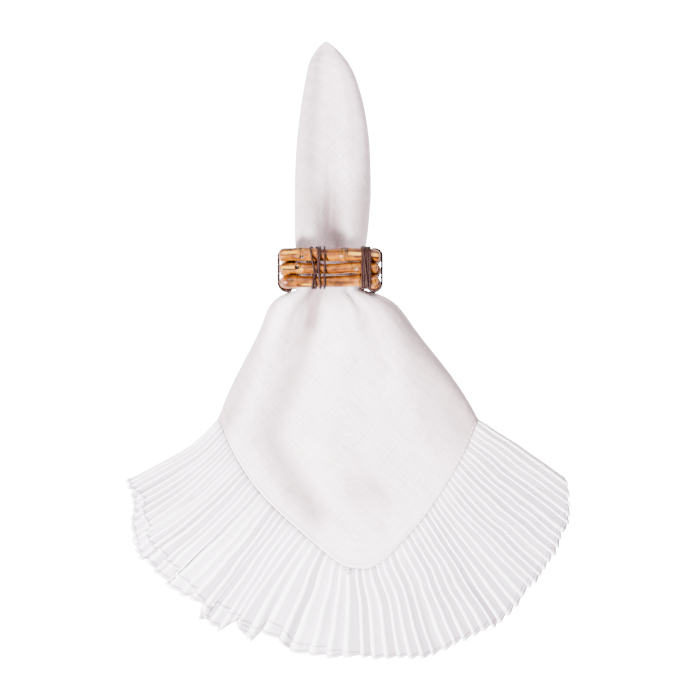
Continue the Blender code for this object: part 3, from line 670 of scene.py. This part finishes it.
# the flat strip's length is the walk along the middle row, over every pleat
stripRow = placesOfRuffle[7]
stripPlace = np.cumsum(np.linalg.norm(np.diff(stripRow, axis=0, prepend=stripRow[:1]), axis=-1))
rowPlace = ruffleRows[:, None] * cloth["strip"]
ruffleFlat = np.stack([stripPlace[None, :] + 0 * rowPlace, rowPlace + 0 * stripPlace], axis=-1)
hemThick = np.where(ruffleRows > 0.973, ruffle["hemThick"], 1.0)
ruffleThickness = cloth["thin"] * hemThick[:, None] * np.ones(len(ruffleLane))
# painted shade: pleats are darkened in their valleys and down their long faces, each a little more or less
# than the next
pleatPaintedTone = pleatPaintedShade * (1 + ruffle["shadeRandom"] * pleatRandom[2, pleatNumber.astype(int)])
rufflePaintedShade = np.clip(pleatPaintedTone[None, :] + rowPaintedShade[:, None], 0, 1)
napkinRuffle = bandMesh("napkinRuffle", placesOfRuffle, ruffleThickness, ruffleLinen, ruffleFlat,
                        {"hollow": rufflePaintedShade})
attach(napkinRuffle, "root")
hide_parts("pleated_ruffle")
print("ruffle", len(napkinRuffle.data.polygons) * 2)

# Stitches along the front seam: place by station, then sizes; lift and crown: above the cloth
stitch = {
    "inset": 1.9868, "length": 2.1, "gap": 0.9, "radius": 0.17, "around": 6, "reach": 0.46, "lift": 0.08,
    "crown": 0.14, "rounding": (0.2, 0.9, 1.0, 0.9, 0.2)}


def stitchMesh():
    # short rounded threads on the upper layer, ends dipping into the cloth, following the seam
    lanes = np.linspace(-stitch["reach"], stitch["reach"], 1200)
    steps = np.stack([lanes, layerOffsets[0] + 0 * lanes, 0 * lanes], axis=-1)
    line = stackPlaces(folded, np.array([stitch["inset"] - 0.003, stitch["inset"]]), steps, np.ones_like)[1]
    run = lengthAlong(line)
    count = int(run[-1] / (stitch["length"] + stitch["gap"]))
    along = np.linspace(0, 1, 5)
    at = np.arange(count)[:, None] * (stitch["length"] + stitch["gap"]) + along[None, :] * stitch["length"]
    place = np.stack([np.interp(at, run, line[:, i]) for i in range(3)], axis=-1)
    place[..., 2] += cloth["thin"] / 2 + stitch["lift"] + stitch["crown"] * np.sin(pi * along)[None, :]
    tangent = unit(np.gradient(place, axis=1))
    aside = unit(np.cross(tangent, (0, 0, 1.0)))
    over = np.cross(aside, tangent)
    angle = np.arange(stitch["around"]) * 2 * pi / stitch["around"]
    size = stitch["radius"] * np.array(stitch["rounding"])[None, :, None, None]
    section = np.cos(angle)[:, None] * aside[:, :, None] + np.sin(angle)[:, None] * over[:, :, None]
    points = place[:, :, None] + size * section
    each = gridFaces(len(along), stitch["around"])
    faces = (each[None] + (np.arange(count) * len(along) * stitch["around"])[:, None, None]).reshape(-1, 4)
    return putMesh("seamStitches", points, faces, seamThread)


seamStitches = stitchMesh()
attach(seamStitches, "root")
print("stitches")

# The ring: its middle in plan, the top of the front rods, the side and back groups, and mesh fineness.
ring = {
    "x": -11.8, "y": 48.3, "top": 50.0, "sideX": 26.4, "sideRadius": 3.85, "backRadius": 3.5, "backZ": 5.1,
    "sideLow": 8.9, "sideHigh": 41.5, "step": 7.9, "front": (240, 48), "plain": (90, 28)}

# Each rod: profile rows are (mm from the left end, share of the radius); joints are (mm, swelling, groove);
# marks are (mm along, mm round from the top, half length, half width, sharpness, depth, scorch, pale)
frontRods = (
    {"name": "rodFrontUpper", "stands": "rod_front_upper",
     "y": 8, "radius": 4.05, "left": -30, "right": 29.4, "tilt": -0.5, "seed": 1,
     "profile": ((0, 0.5), (0.5, 0.76), (1.6, 0.93), (4, 0.96), (8, 0.93), (11.6, 0.99), (14, 1),
        (17, 0.93), (26, 0.9), (35, 0.93), (37.5, 1.02), (39.5, 1), (43, 0.95), (52, 0.94), (55.5, 0.9),
        (58, 0.8), (59, 0.66), (59.4, 0.45)),
     "bend": ((0, -0.4), (12, 0.3), (30, -0.25), (39, 0.3), (55, -0.1), (59.4, -0.7)),
     "joints": ((12, 0.16, 0.3), (38.3, 0.22, 0.34)),
     "marks": ((6.2, 1, 4.6, 1, 5, 0.45, 0, 0.9), (6.2, 2.5, 4.4, 0.28, 3, 0.25, 0.85, 0),
        (6.8, -0.55, 4.8, 0.3, 3, 0.3, 0.75, 0), (6.6, 3.1, 1.3, 0.75, 3, 0.35, 0.55, 0.5),
        (13.2, 2.9, 1.3, 1, 4, 0.35, 0.45, 0.8), (13.6, -2.2, 1.15, 0.95, 4, 0.6, 1, 0),
        (13, -2, 0.35, 0.3, 2, -0.1, -0.5, 0.4), (8, 4, 7, 0.5, 3, 0.1, 0.75, 0),
        (38, 2.1, 2.2, 2.1, 7, 0.25, 0.3, 0.25), (37, 1.8, 0.5, 1.6, 3, 0.2, 0.55, 0),
        (40.3, 1.2, 0.5, 2.4, 3, 0.3, 0.75, 0), (38.8, 4.2, 2.2, 0.6, 4, 0.3, 0.95, 0),
        (50, 0.35, 9, 1.25, 8, 0.6, 0, 1), (50, 2.3, 9.6, 0.75, 6, 0.35, 0.95, 0),
        (49.6, -1.35, 8.9, 0.32, 4, 0.3, 0.9, 0), (57.4, -1.7, 1.6, 0.7, 3, 0.15, 0.45, 0),
        (38.6, -2.2, 1.9, 0.25, 2, 0.1, 0.35, 0), (30, 2.5, 2, 0.5, 2, 0.08, 0.3, 0),
        (4, -3.4, 3.2, 1, 3, 0.05, 0.35, 0))},
    {"name": "rodFrontMiddle", "stands": "rod_front_middle",
     "y": -0.2, "radius": 3.3, "left": -29.8, "right": 28.2, "tilt": 0, "seed": 2,
     "profile": ((0, 0.45), (0.5, 0.74), (1.6, 0.92), (5, 0.98), (9, 0.98), (12, 1.04), (14, 1),
        (18, 0.93), (30, 0.92), (43, 0.98), (46, 1.08), (48.5, 1.04), (51, 0.92), (54, 0.96), (56.4, 0.88),
        (57.6, 0.66), (58, 0.4)),
     "bend": ((0, 0), (12, 0.1), (30, -0.3), (46, 0.5), (53, 0.1), (58, 0)),
     "joints": ((11.6, 0.12, 0.28), (47.6, 0.16, 0.34)),
     "marks": ((5.4, 0.55, 4.4, 0.85, 6, 0.5, 0, 1), (4.8, 1.75, 5, 0.3, 4, 0.3, 0.75, 0),
        (5.6, -0.85, 5, 0.55, 4, 0.4, 0.85, 0), (10.4, 0.65, 1.15, 1.05, 4, 1.5, 2.2, 0),
        (12.6, -0.9, 1.5, 1, 3, 0.15, 0.1, 0.8), (11.6, -2.4, 1.4, 0.8, 3, 0.15, 0.25, 0.6),
        (44.3, -0.1, 1.45, 1.25, 5, 0.3, 0.65, 0.2), (44.5, -0.2, 0.75, 0.6, 3, 0.1, -0.3, 0.1),
        (42.6, 1.9, 0.5, 1.7, 3, 0.2, 0.6, 0), (46.4, 1.4, 1.5, 0.35, 3, 0.2, 0.5, 0),
        (28, 2.8, 10, 0.5, 3, 0.1, 0.5, 0), (30, -2.9, 12, 0.5, 3, 0.1, 0.35, 0))},
    {"name": "rodFrontLower", "stands": "rod_front_lower",
     "y": -7.9, "radius": 3.55, "left": -28.6, "right": 28.6, "tilt": 0.6, "seed": 3,
     "profile": ((0, 0.5), (0.6, 0.84), (1.8, 1.06), (4, 1.15), (7, 1.13), (10, 1.02), (13, 0.95),
        (20, 0.93), (34, 0.94), (43, 0.98), (46, 1.03), (48, 0.97), (52, 0.95), (55, 0.92), (56.4, 0.74),
        (57.2, 0.42)),
     "bend": ((0, 0.3), (6, 0.2), (20, 0), (34, 0), (46, 0.4), (57.2, 0.5)),
     "joints": ((8.6, 0.08, 0.12), (45.6, 0.12, 0.28)),
     "marks": ((6.1, 0.3, 1.5, 1.5, 3, 0.12, 0.55, 0.1), (6.1, 0.3, 0.7, 0.7, 2, 0.1, 0.3, 0),
        (15.4, -2.2, 3.4, 0.55, 5, 0.4, 0, 0.9), (10.3, -2.3, 0.7, 0.5, 3, 0.3, 1, 0),
        (14.6, -0.6, 3.4, 0.5, 3, 0.15, 0.6, 0), (33.5, -0.9, 9.5, 0.35, 5, 0.35, 0.85, 0),
        (35.5, -1.7, 7.5, 0.5, 4, 0.2, 0.75, 0), (30, -0.1, 10, 0.4, 4, 0.1, 0.4, 0),
        (28, 2.7, 8, 0.6, 3, 0.1, 0.45, 0), (55.3, -0.4, 0.5, 1.8, 3, 0.15, 0.6, 0),
        (53.6, -1.9, 1.6, 0.4, 3, 0.15, 0.45, 0))})

plainRods = []
labels = ("Upper", "Middle", "Lower")
places = tuple((i, label, ring["y"] + (1 - i) * ring["step"]) for i, label in enumerate(labels))
for i, label, y in places:
    plainRods.append({
        "name": f"rodBack{label}", "stands": f"rod_back_{label.lower()}", "axis": "x", "radius": 3.45,
        "centre": (ring["x"], y, ring["backZ"]), "length": 58.0, "seed": 10 + i,
        "joints": ((14.0 + 5 * i, 0.3, 0.3), (41.0 + 3 * i, 0.3, 0.3))})
for side, way in (("Left", -1), ("Right", 1)):
    for i, label, y in places:
        plainRods.append({
            "name": f"rod{side}{label}", "stands": f"rod_{side.lower()}_{label.lower()}", "axis": "z",
            "radius": 3.8, "bend": ((0, -2), (14, -1.2), (32.6, 0)), "seed": 20 + i + (way > 0) * 5,
            "centre": (ring["x"] + way * ring["sideX"], y, (ring["sideLow"] + ring["sideHigh"]) / 2),
            "length": ring["sideHigh"] - ring["sideLow"], "joints": ((9.0 + 7 * i, 0.35, 0.3),)})


def bambooMaterial():
    # varnished bamboo: golden with fibre streaks, dark where scorched, pale where cut, under a clear coat
    material, tree, shader = newMaterial("varnishedBamboo", Roughness=0.42, Coat_Weight=0.22,
                                         Coat_Roughness=0.24, Specular_IOR_Level=0.18)
    spot = addNode(tree, "UVMap", uv_map="flat")
    stretch = addNode(tree, "Mapping", {"Vector": (spot, "UV"), "Scale": (55.0, 900.0, 1.0)})
    fibre = addNode(tree, "TexNoise", {"Vector": (stretch, "Vector"), "Scale": 1.0, "Detail": 4.0})
    blotch = addNode(tree, "TexNoise", {"Vector": (spot, "UV"), "Scale": 170.0, "Detail": 2.0})
    mixed = addNode(tree, "Math", {0: (fibre, "Fac"), 1: (blotch, "Fac")}, operation="ADD")
    spread = addNode(tree, "MapRange", {
        "Value": (mixed, "Value"), "From Min": 0.75, "From Max": 1.25})
    ramp = addNode(tree, "ValToRGB", {"Fac": (spread, "Result")})
    stops = ((0.0, "#3A1500"), (0.35, "#5F2C00"), (0.65, "#7E4400"), (1.0, "#9A5C00"))
    while len(ramp.color_ramp.elements) < len(stops):
        ramp.color_ramp.elements.new(0.5)
    for element, (place, colour) in zip(ramp.color_ramp.elements, stops):
        element.position = place
        element.color = fromHex(colour)
    last = ramp, "Color"
    for name, colour in (("pale", "#C48A10"), ("scorch", "#120401")):
        mark = addNode(tree, "Attribute", attribute_name=name)
        last = addNode(tree, "Mix", {
            "Factor": (mark, "Fac"), 6: last, 7: fromHex(colour)}, data_type="RGBA"), 2
    tree.links.new(last[0].outputs[last[1]], shader.inputs["Base Color"])
    bump = addNode(tree, "Bump", {"Height": (fibre, "Fac"), "Strength": 0.25, "Distance": 0.0002})
    tree.links.new(bump.outputs["Normal"], shader.inputs["Normal"])
    return material


bamboo = bambooMaterial()

# on every rod: how far from round, its slow wave, half widths of a joint's swelling and groove, how far
# past the joint the groove stands; scorch: how much, and the length of its wave or its half width
grain = {
    "oval": 0.1, "wave": (0.06, 3.1), "swelling": 1.5, "groove": 0.35, "past": 0.9, "scorch": (0.1, 4.3),
    "grooveScorch": (0.45, 0.4), "endScorch": (0.35, 0.5), "endPale": 0.6}


def rodMesh(rod, along, around):
    # a turned profile with swollen joints; marks press in or out and colour an oval patch of the surface
    # the rings of points stand closer together toward both ends
    random = np.random.default_rng(rod["seed"])
    length = rod["length"]
    profile = np.array(rod.get("profile") or (
        (0, 0.5), (0.6, 0.84), (1.6, 0.96), (length - 1.6, 0.96), (length - 0.6, 0.84), (length, 0.5)))
    run = np.linspace(0, 1, along)
    run = length * (0.5 - 0.5 * np.cos(pi * run)) * 0.35 + length * run * 0.65
    run = np.concatenate([run[:1], run, run[-1:]])[:, None]
    angle = (np.arange(around) * 2 * pi / around)[None, :]
    radius = rod["radius"] * smoothRead(profile, 1, run) * np.ones_like(angle)
    tall, wave = grain["wave"]
    radius += grain["oval"] * np.sin(2 * angle + random.uniform(0, 6))
    radius += tall * np.sin(run / wave + 2 * angle)
    dark, wave = grain["scorch"]
    scorch = dark * (0.5 + 0.5 * np.sin(run / wave + random.uniform(0, 6))) * np.ones_like(angle)
    pale = np.zeros_like(radius)
    grooveDark, grooveWide = grain["grooveScorch"]
    for place, swell, groove in rod["joints"]:
        past = run - place - grain["past"]
        radius += swell * bell(run - place, grain["swelling"])
        radius -= groove * bell(past, grain["groove"])
        scorch += grooveDark * bell(past, grooveWide)
    turned = (angle + pi) % (2 * pi) - pi
    arc = turned * rod["radius"]
    for place, across, halfLong, halfWide, power, depth, dark, light in rod.get("marks", ()):
        outside = np.abs((run - place) / halfLong) ** power + np.abs((arc - across) / halfWide) ** power
        patch = np.exp(-outside)
        radius -= depth * patch
        scorch += dark * patch
        pale += light * patch
    dark, wide = grain["endScorch"]
    scorch += dark * bell(np.minimum(run, length - run), wide)
    radius[[0, -1]] *= 0.01  # the first and last rings close the ends
    pale[[0, -1]] = grain["endPale"]
    bend = np.array(rod.get("bend") or ((0, 0), (length / 2, 0), (length, 0)), dtype=float)
    sway = smoothRead(bend, 1, run)
    up = radius * np.cos(angle)
    sideways = radius * np.sin(angle) + sway
    forward = run - length / 2 + 0 * angle
    if rod["axis"] == "x":
        points = np.stack([forward, sideways, up], axis=-1)
        tilt = radians(rod.get("tilt", 0.0))
        x = points[..., 0] * np.cos(tilt) - points[..., 1] * np.sin(tilt)
        points[..., 1] = points[..., 0] * np.sin(tilt) + points[..., 1] * np.cos(tilt)
        points[..., 0] = x
    else:
        points = np.stack([up, sideways, forward], axis=-1)
    points = points + np.array(rod["centre"])
    flat = np.stack([run + 0 * angle + rod["seed"] * 90, 0 * run + arc], axis=-1)
    faces = gridFaces(along + 2, around)
    if rod["axis"] == "x":
        faces = faces[:, ::-1]
    piece = putMesh(rod["name"], points, faces, bamboo, flat, {
        "scorch": np.clip(scorch, 0, 1), "pale": np.clip(pale, 0, 1)})
    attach(piece, "root")
    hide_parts(rod["stands"])


for rod in frontRods:
    middle = ring["x"] + (rod["left"] + rod["right"]) / 2
    centre = (middle, ring["y"] + rod["y"], ring["top"] - rod["radius"])
    rodMesh({"axis": "x", "length": rod["right"] - rod["left"], "centre": centre, **rod}, *ring["front"])
for rod in plainRods:
    rodMesh(rod, *ring["plain"])
print("rods")

# Waxed cord: radius, points round and step along, one turn of the plies, how deep their grooves are.
cord = {"radius": 0.62, "around": 18, "step": 0.22, "twist": 2.4, "lobe": 0.13}


def cordMaterial():
    # waxed brown cord: painted shade colours the plies darker in their grooves, painted highlight colours
    # their crests lighter
    material, tree, shader = newMaterial("waxedCord", Roughness=0.55, Specular_IOR_Level=0.2)
    # painted shade and highlight: this mark is low down between the plies and high on their crests
    groove = addNode(tree, "Attribute", attribute_name="crest")
    spot = addNode(tree, "UVMap", uv_map="flat")
    fuzz = addNode(tree, "TexNoise", {"Vector": (spot, "UV"), "Scale": 1600.0, "Detail": 2.0})
    colour = addNode(tree, "Mix", {
        "Factor": (groove, "Fac"), 6: fromHex("#0A0302"), 7: fromHex("#2C0F07")}, data_type="RGBA")
    tree.links.new(colour.outputs[2], shader.inputs["Base Color"])
    bump = addNode(tree, "Bump", {"Height": (fuzz, "Fac"), "Strength": 0.4, "Distance": 0.0002})
    tree.links.new(bump.outputs["Normal"], shader.inputs["Normal"])
    return material


waxedCord = cordMaterial()


def hugging(circles, clear):
    # closed line round several circles: for each heading, the furthest point of any circle that way
    heading = np.linspace(0, 2 * pi, 721)[:-1]
    facing = np.stack([np.cos(heading), np.sin(heading)], axis=-1)
    centres = np.array([circle[:2] for circle in circles])
    radii = np.array([circle[2] for circle in circles]) + clear
    furthest = np.argmax(facing @ centres.T + radii, axis=1)
    return centres[furthest] + radii[furthest, None] * facing


def evenly(points, step, closed):
    # the same line with points a step apart
    line = np.concatenate([points, points[:1]]) if closed else points
    lengths = lengthAlong(line)
    count = max(int(lengths[-1] / step), 8)
    at = np.linspace(0, lengths[-1], count + 1)
    at = at[:-1] if closed else at
    return np.stack([np.interp(at, lengths, line[:, i]) for i in range(3)], axis=-1)


def cordMesh(paths, radius):
    # a round section with three lobes that turn along the line; frames come from the line's own tangent
    allPoints, allFaces, allFlat, allPaintedCrestLight = [], [], [], []
    start = 0
    for points, closed, flatNormal in paths:
        line = evenly(points, cord["step"], closed)
        if closed:
            tangent = unit(np.roll(line, -1, axis=0) - np.roll(line, 1, axis=0))
        else:
            tangent = unit(np.gradient(line, axis=0))
        aside = unit(np.cross(tangent, np.array(flatNormal, dtype=float)))
        over = np.cross(aside, tangent)
        run = lengthAlong(line)
        total = run[-1] + (cord["step"] if closed else 0)
        turns = max(round(total / cord["twist"]), 1) / total
        angle = (np.arange(cord["around"]) * 2 * pi / cord["around"])[None, :]
        lobe = np.abs(np.cos(1.5 * (angle - 2 * pi * turns * run[:, None])))
        size = radius * (1 - cord["lobe"] + cord["lobe"] * 1.6 * lobe)
        if not closed:
            ends = np.minimum(run, run[-1] - run)[:, None]
            size = size * np.sqrt(np.clip(ends / radius, 0.02, 1))
        section = np.cos(angle)[..., None] * aside[:, None] + np.sin(angle)[..., None] * over[:, None]
        ringPoints = line[:, None] + size[..., None] * section
        allPoints.append(ringPoints.reshape(-1, 3))
        allFaces.append(gridFaces(len(line), cord["around"], closeRows=closed, start=start))
        allFlat.append(np.stack(np.broadcast_arrays(run[:, None], radius * angle), axis=-1).reshape(-1, 2))
        # painted shade and highlight mark: low down between the plies, high on their crests
        allPaintedCrestLight.append(np.clip(lobe * 1.2 - 0.15, 0, 1).ravel())
        start += ringPoints.shape[0] * ringPoints.shape[1]
    return tuple(np.concatenate(part) for part in (allPoints, allFaces, allFlat, allPaintedCrestLight))


def lash(name, stands, paths):
    # one piece of cord, wound along one or more lines
    points, faces, flat, crest = cordMesh(paths, cord["radius"])
    piece = putMesh(name, points, faces, waxedCord, flat, {"crest": crest})
    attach(piece, "root")
    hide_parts(stands)


frontCircles = [
    (ring["y"] + rod["y"], ring["top"] - rod["radius"], rod["radius"] * 0.95) for rod in frontRods]


def frontWrap(places, lift=None, turns=1, advance=0.0):
    # one wrap over the three front rods; its x follows y on the upper side and stays level beneath
    loop = hugging(frontCircles, cord["radius"] * 0.98)
    line = np.concatenate([np.roll(loop, 200, axis=0)] * turns)
    table = np.array(places, dtype=float)
    order = np.argsort(table[:, 0])
    x = ring["x"] + np.interp(line[:, 0] - ring["y"], table[order, 0], table[order, 1])
    upper = smoothStep(ring["top"] - 7.5, ring["top"] - 2.5, line[:, 1])
    level = ring["x"] + table[:, 1].mean()
    x = level + (x - level) * upper if advance == 0 else x
    x = x + advance * np.arange(len(line)) / len(loop)
    z = line[:, 1].copy()
    if lift:
        z += upper * lift[1] * bell(line[:, 0] - ring["y"] - lift[0], lift[2])
    return np.stack([x, line[:, 0], z], axis=-1), advance == 0, (1.0, 0.0, 0.0)


lash("lashingFrontLeftFirst", "lashing_front_left_1", [
    frontWrap(((13, -11.6), (4, -10.5), (-1, -9.3), (-13, -8.1)), (-8.5, -0.1, 2.0))])
lash("lashingFrontLeftCrossed", "lashing_front_left_2", [
    frontWrap(((13, -7.0), (3, -6.6), (0, -7.2), (-5, -9.0), (-8, -10.0), (-13, -10.6)), (-6.6, 1.15, 2.6)),
    frontWrap(((13, -5.75), (2, -6.0), (-2, -7.0), (-5, -6.6), (-13, -5.2)), (-1.5, 0.35, 2.0))])
lash("lashingFrontLeftLast", "lashing_front_left_3", [
    frontWrap(((13, -3.3), (4, -2.9), (-13, -3.3)))])
lash("lashingFrontRight", "lashing_front_right", [
    frontWrap(((13, 18.4), (-13, 18.2)), turns=5, advance=1.16),
    frontWrap(((13, 19.1), (0, 20.9), (-13, 22.4)), (0, 0.75, 12.0))])


def sideWrap(x, y, reach, spread, low, turns, advance):
    # turns round a group of upright rods, rising a little each time
    loop = hugging([(x, y + i * ring["step"], reach) for i in (1, 0, -1)], cord["radius"])
    line = np.concatenate([np.roll(loop, 180, axis=0)] * turns)
    height = low + advance * np.arange(len(line)) / len(loop)
    height = height + spread * np.sin(2 * pi * np.arange(len(line)) / len(loop))
    return np.stack([line[:, 0], line[:, 1], height], axis=-1), False, (0.0, 0.0, 1.0)


for side, way in (("Left", -1), ("Right", 1)):
    x = ring["x"] + way * ring["sideX"]
    lash(f"lashingSide{side}", f"lashing_side_{side.lower()}", [
        sideWrap(x, ring["y"] - 0.7, ring["sideRadius"], 0.3, 25.5, 5, 1.25),
        sideWrap(x, ring["y"] - 0.3, ring["sideRadius"], 2.2 * way, 35.0, 1, 0.4)])
    backCircles = [(ring["y"] + i * ring["step"], ring["backZ"], ring["backRadius"]) for i in (-1, 0, 1)]
    loop = hugging(backCircles, cord["radius"])
    line = np.concatenate([loop] * 4)
    x = ring["x"] + way * 16.0 - 2.0 + 1.25 * np.arange(len(line)) / len(loop)
    lash(f"lashingBack{side}", f"lashing_back_{side.lower()}", [
        (np.stack([x, line[:, 0], line[:, 1]], axis=-1), False, (1.0, 0.0, 0.0))])
print("lashings")

# The knotted end of the gathering thread, at the corner: a trefoil of thread.
knot = {"size": 0.62, "radius": 0.36, "place": (-1.9, -136.2, 6.0), "normal": (0.3, 0.2, 1.0), "tall": 1.1}
turn = np.linspace(0, 2 * pi, 160)[:-1]
knotX = np.sin(turn) + 2 * np.sin(2 * turn)
knotY = np.cos(turn) - 2 * np.cos(2 * turn)
knotLine = np.stack([knotX, knotY, -knot["tall"] * np.sin(3 * turn)], axis=-1)
knotLine = knotLine * knot["size"] + np.array(knot["place"])
knotPoints, knotFaces, _, _ = cordMesh([(knotLine, True, knot["normal"])], knot["radius"])
seamKnot = putMesh("seamKnot", knotPoints, knotFaces, seamThread)
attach(seamKnot, "root")

floorMesh = bpy.data.meshes.new("floor")
floorCorners = [(-3, -3, -0.0005), (3, -3, -0.0005), (3, 3, -0.0005), (-3, 3, -0.0005)]
floorMesh.from_pydata(floorCorners, [], [(0, 1, 2, 3)])
floor = bpy.data.objects.new("floor", floorMesh)
bpy.context.scene.collection.objects.link(floor)
floorPaint, floorTree, floorShader = newMaterial("whitePaper", Base_Color=fromHex("#FAFAFA"), Roughness=0.9)
# the sweep is lit from behind: seen directly it glows white, but it throws little of that on the cloth
glow = addNode(floorTree, "Emission", {"Color": fromHex("#FFFFFF"), "Strength": 30.0})
seen = addNode(floorTree, "LightPath")
share = addNode(floorTree, "Math", {0: (seen, "Is Camera Ray"), 1: 0.8}, operation="MULTIPLY")
blended = addNode(floorTree, "MixShader", {
    "Fac": (share, "Value"), 1: (floorShader, "BSDF"), 2: (glow, "Emission")})
floorTree.links.new(blended.outputs["Shader"], floorTree.nodes["Material Output"].inputs["Surface"])
floorMesh.materials.append(floorPaint)


def softLight(name, place, size, power, colour):
    # area lamp turned to look at the origin: its -Z goes along the line from its place to there
    data = bpy.data.lights.new(name, "AREA")
    data.shape = "RECTANGLE"
    data.size, data.size_y = size
    data.energy = power
    data.color = fromHex(colour)[:3]
    lamp = bpy.data.objects.new(name, data)
    lamp.location = place
    lamp.rotation_euler = (-Vector(place)).to_track_quat("-Z", "Y").to_euler()
    bpy.context.scene.collection.objects.link(lamp)


softLight("keyLight", (-0.78, -0.55, 1.0), (0.3, 0.3), 165, "#FFFFFF")
softLight("fillLight", (0.35, 0.8, 1.3), (0.8, 0.8), 40, "#FFF0F4")
world = bpy.data.worlds.new("studio")
bpy.context.scene.world = world
world.use_nodes = True
world.node_tree.nodes["Background"].inputs["Color"].default_value = fromHex("#FFFFFF")
world.node_tree.nodes["Background"].inputs["Strength"].default_value = 0.22
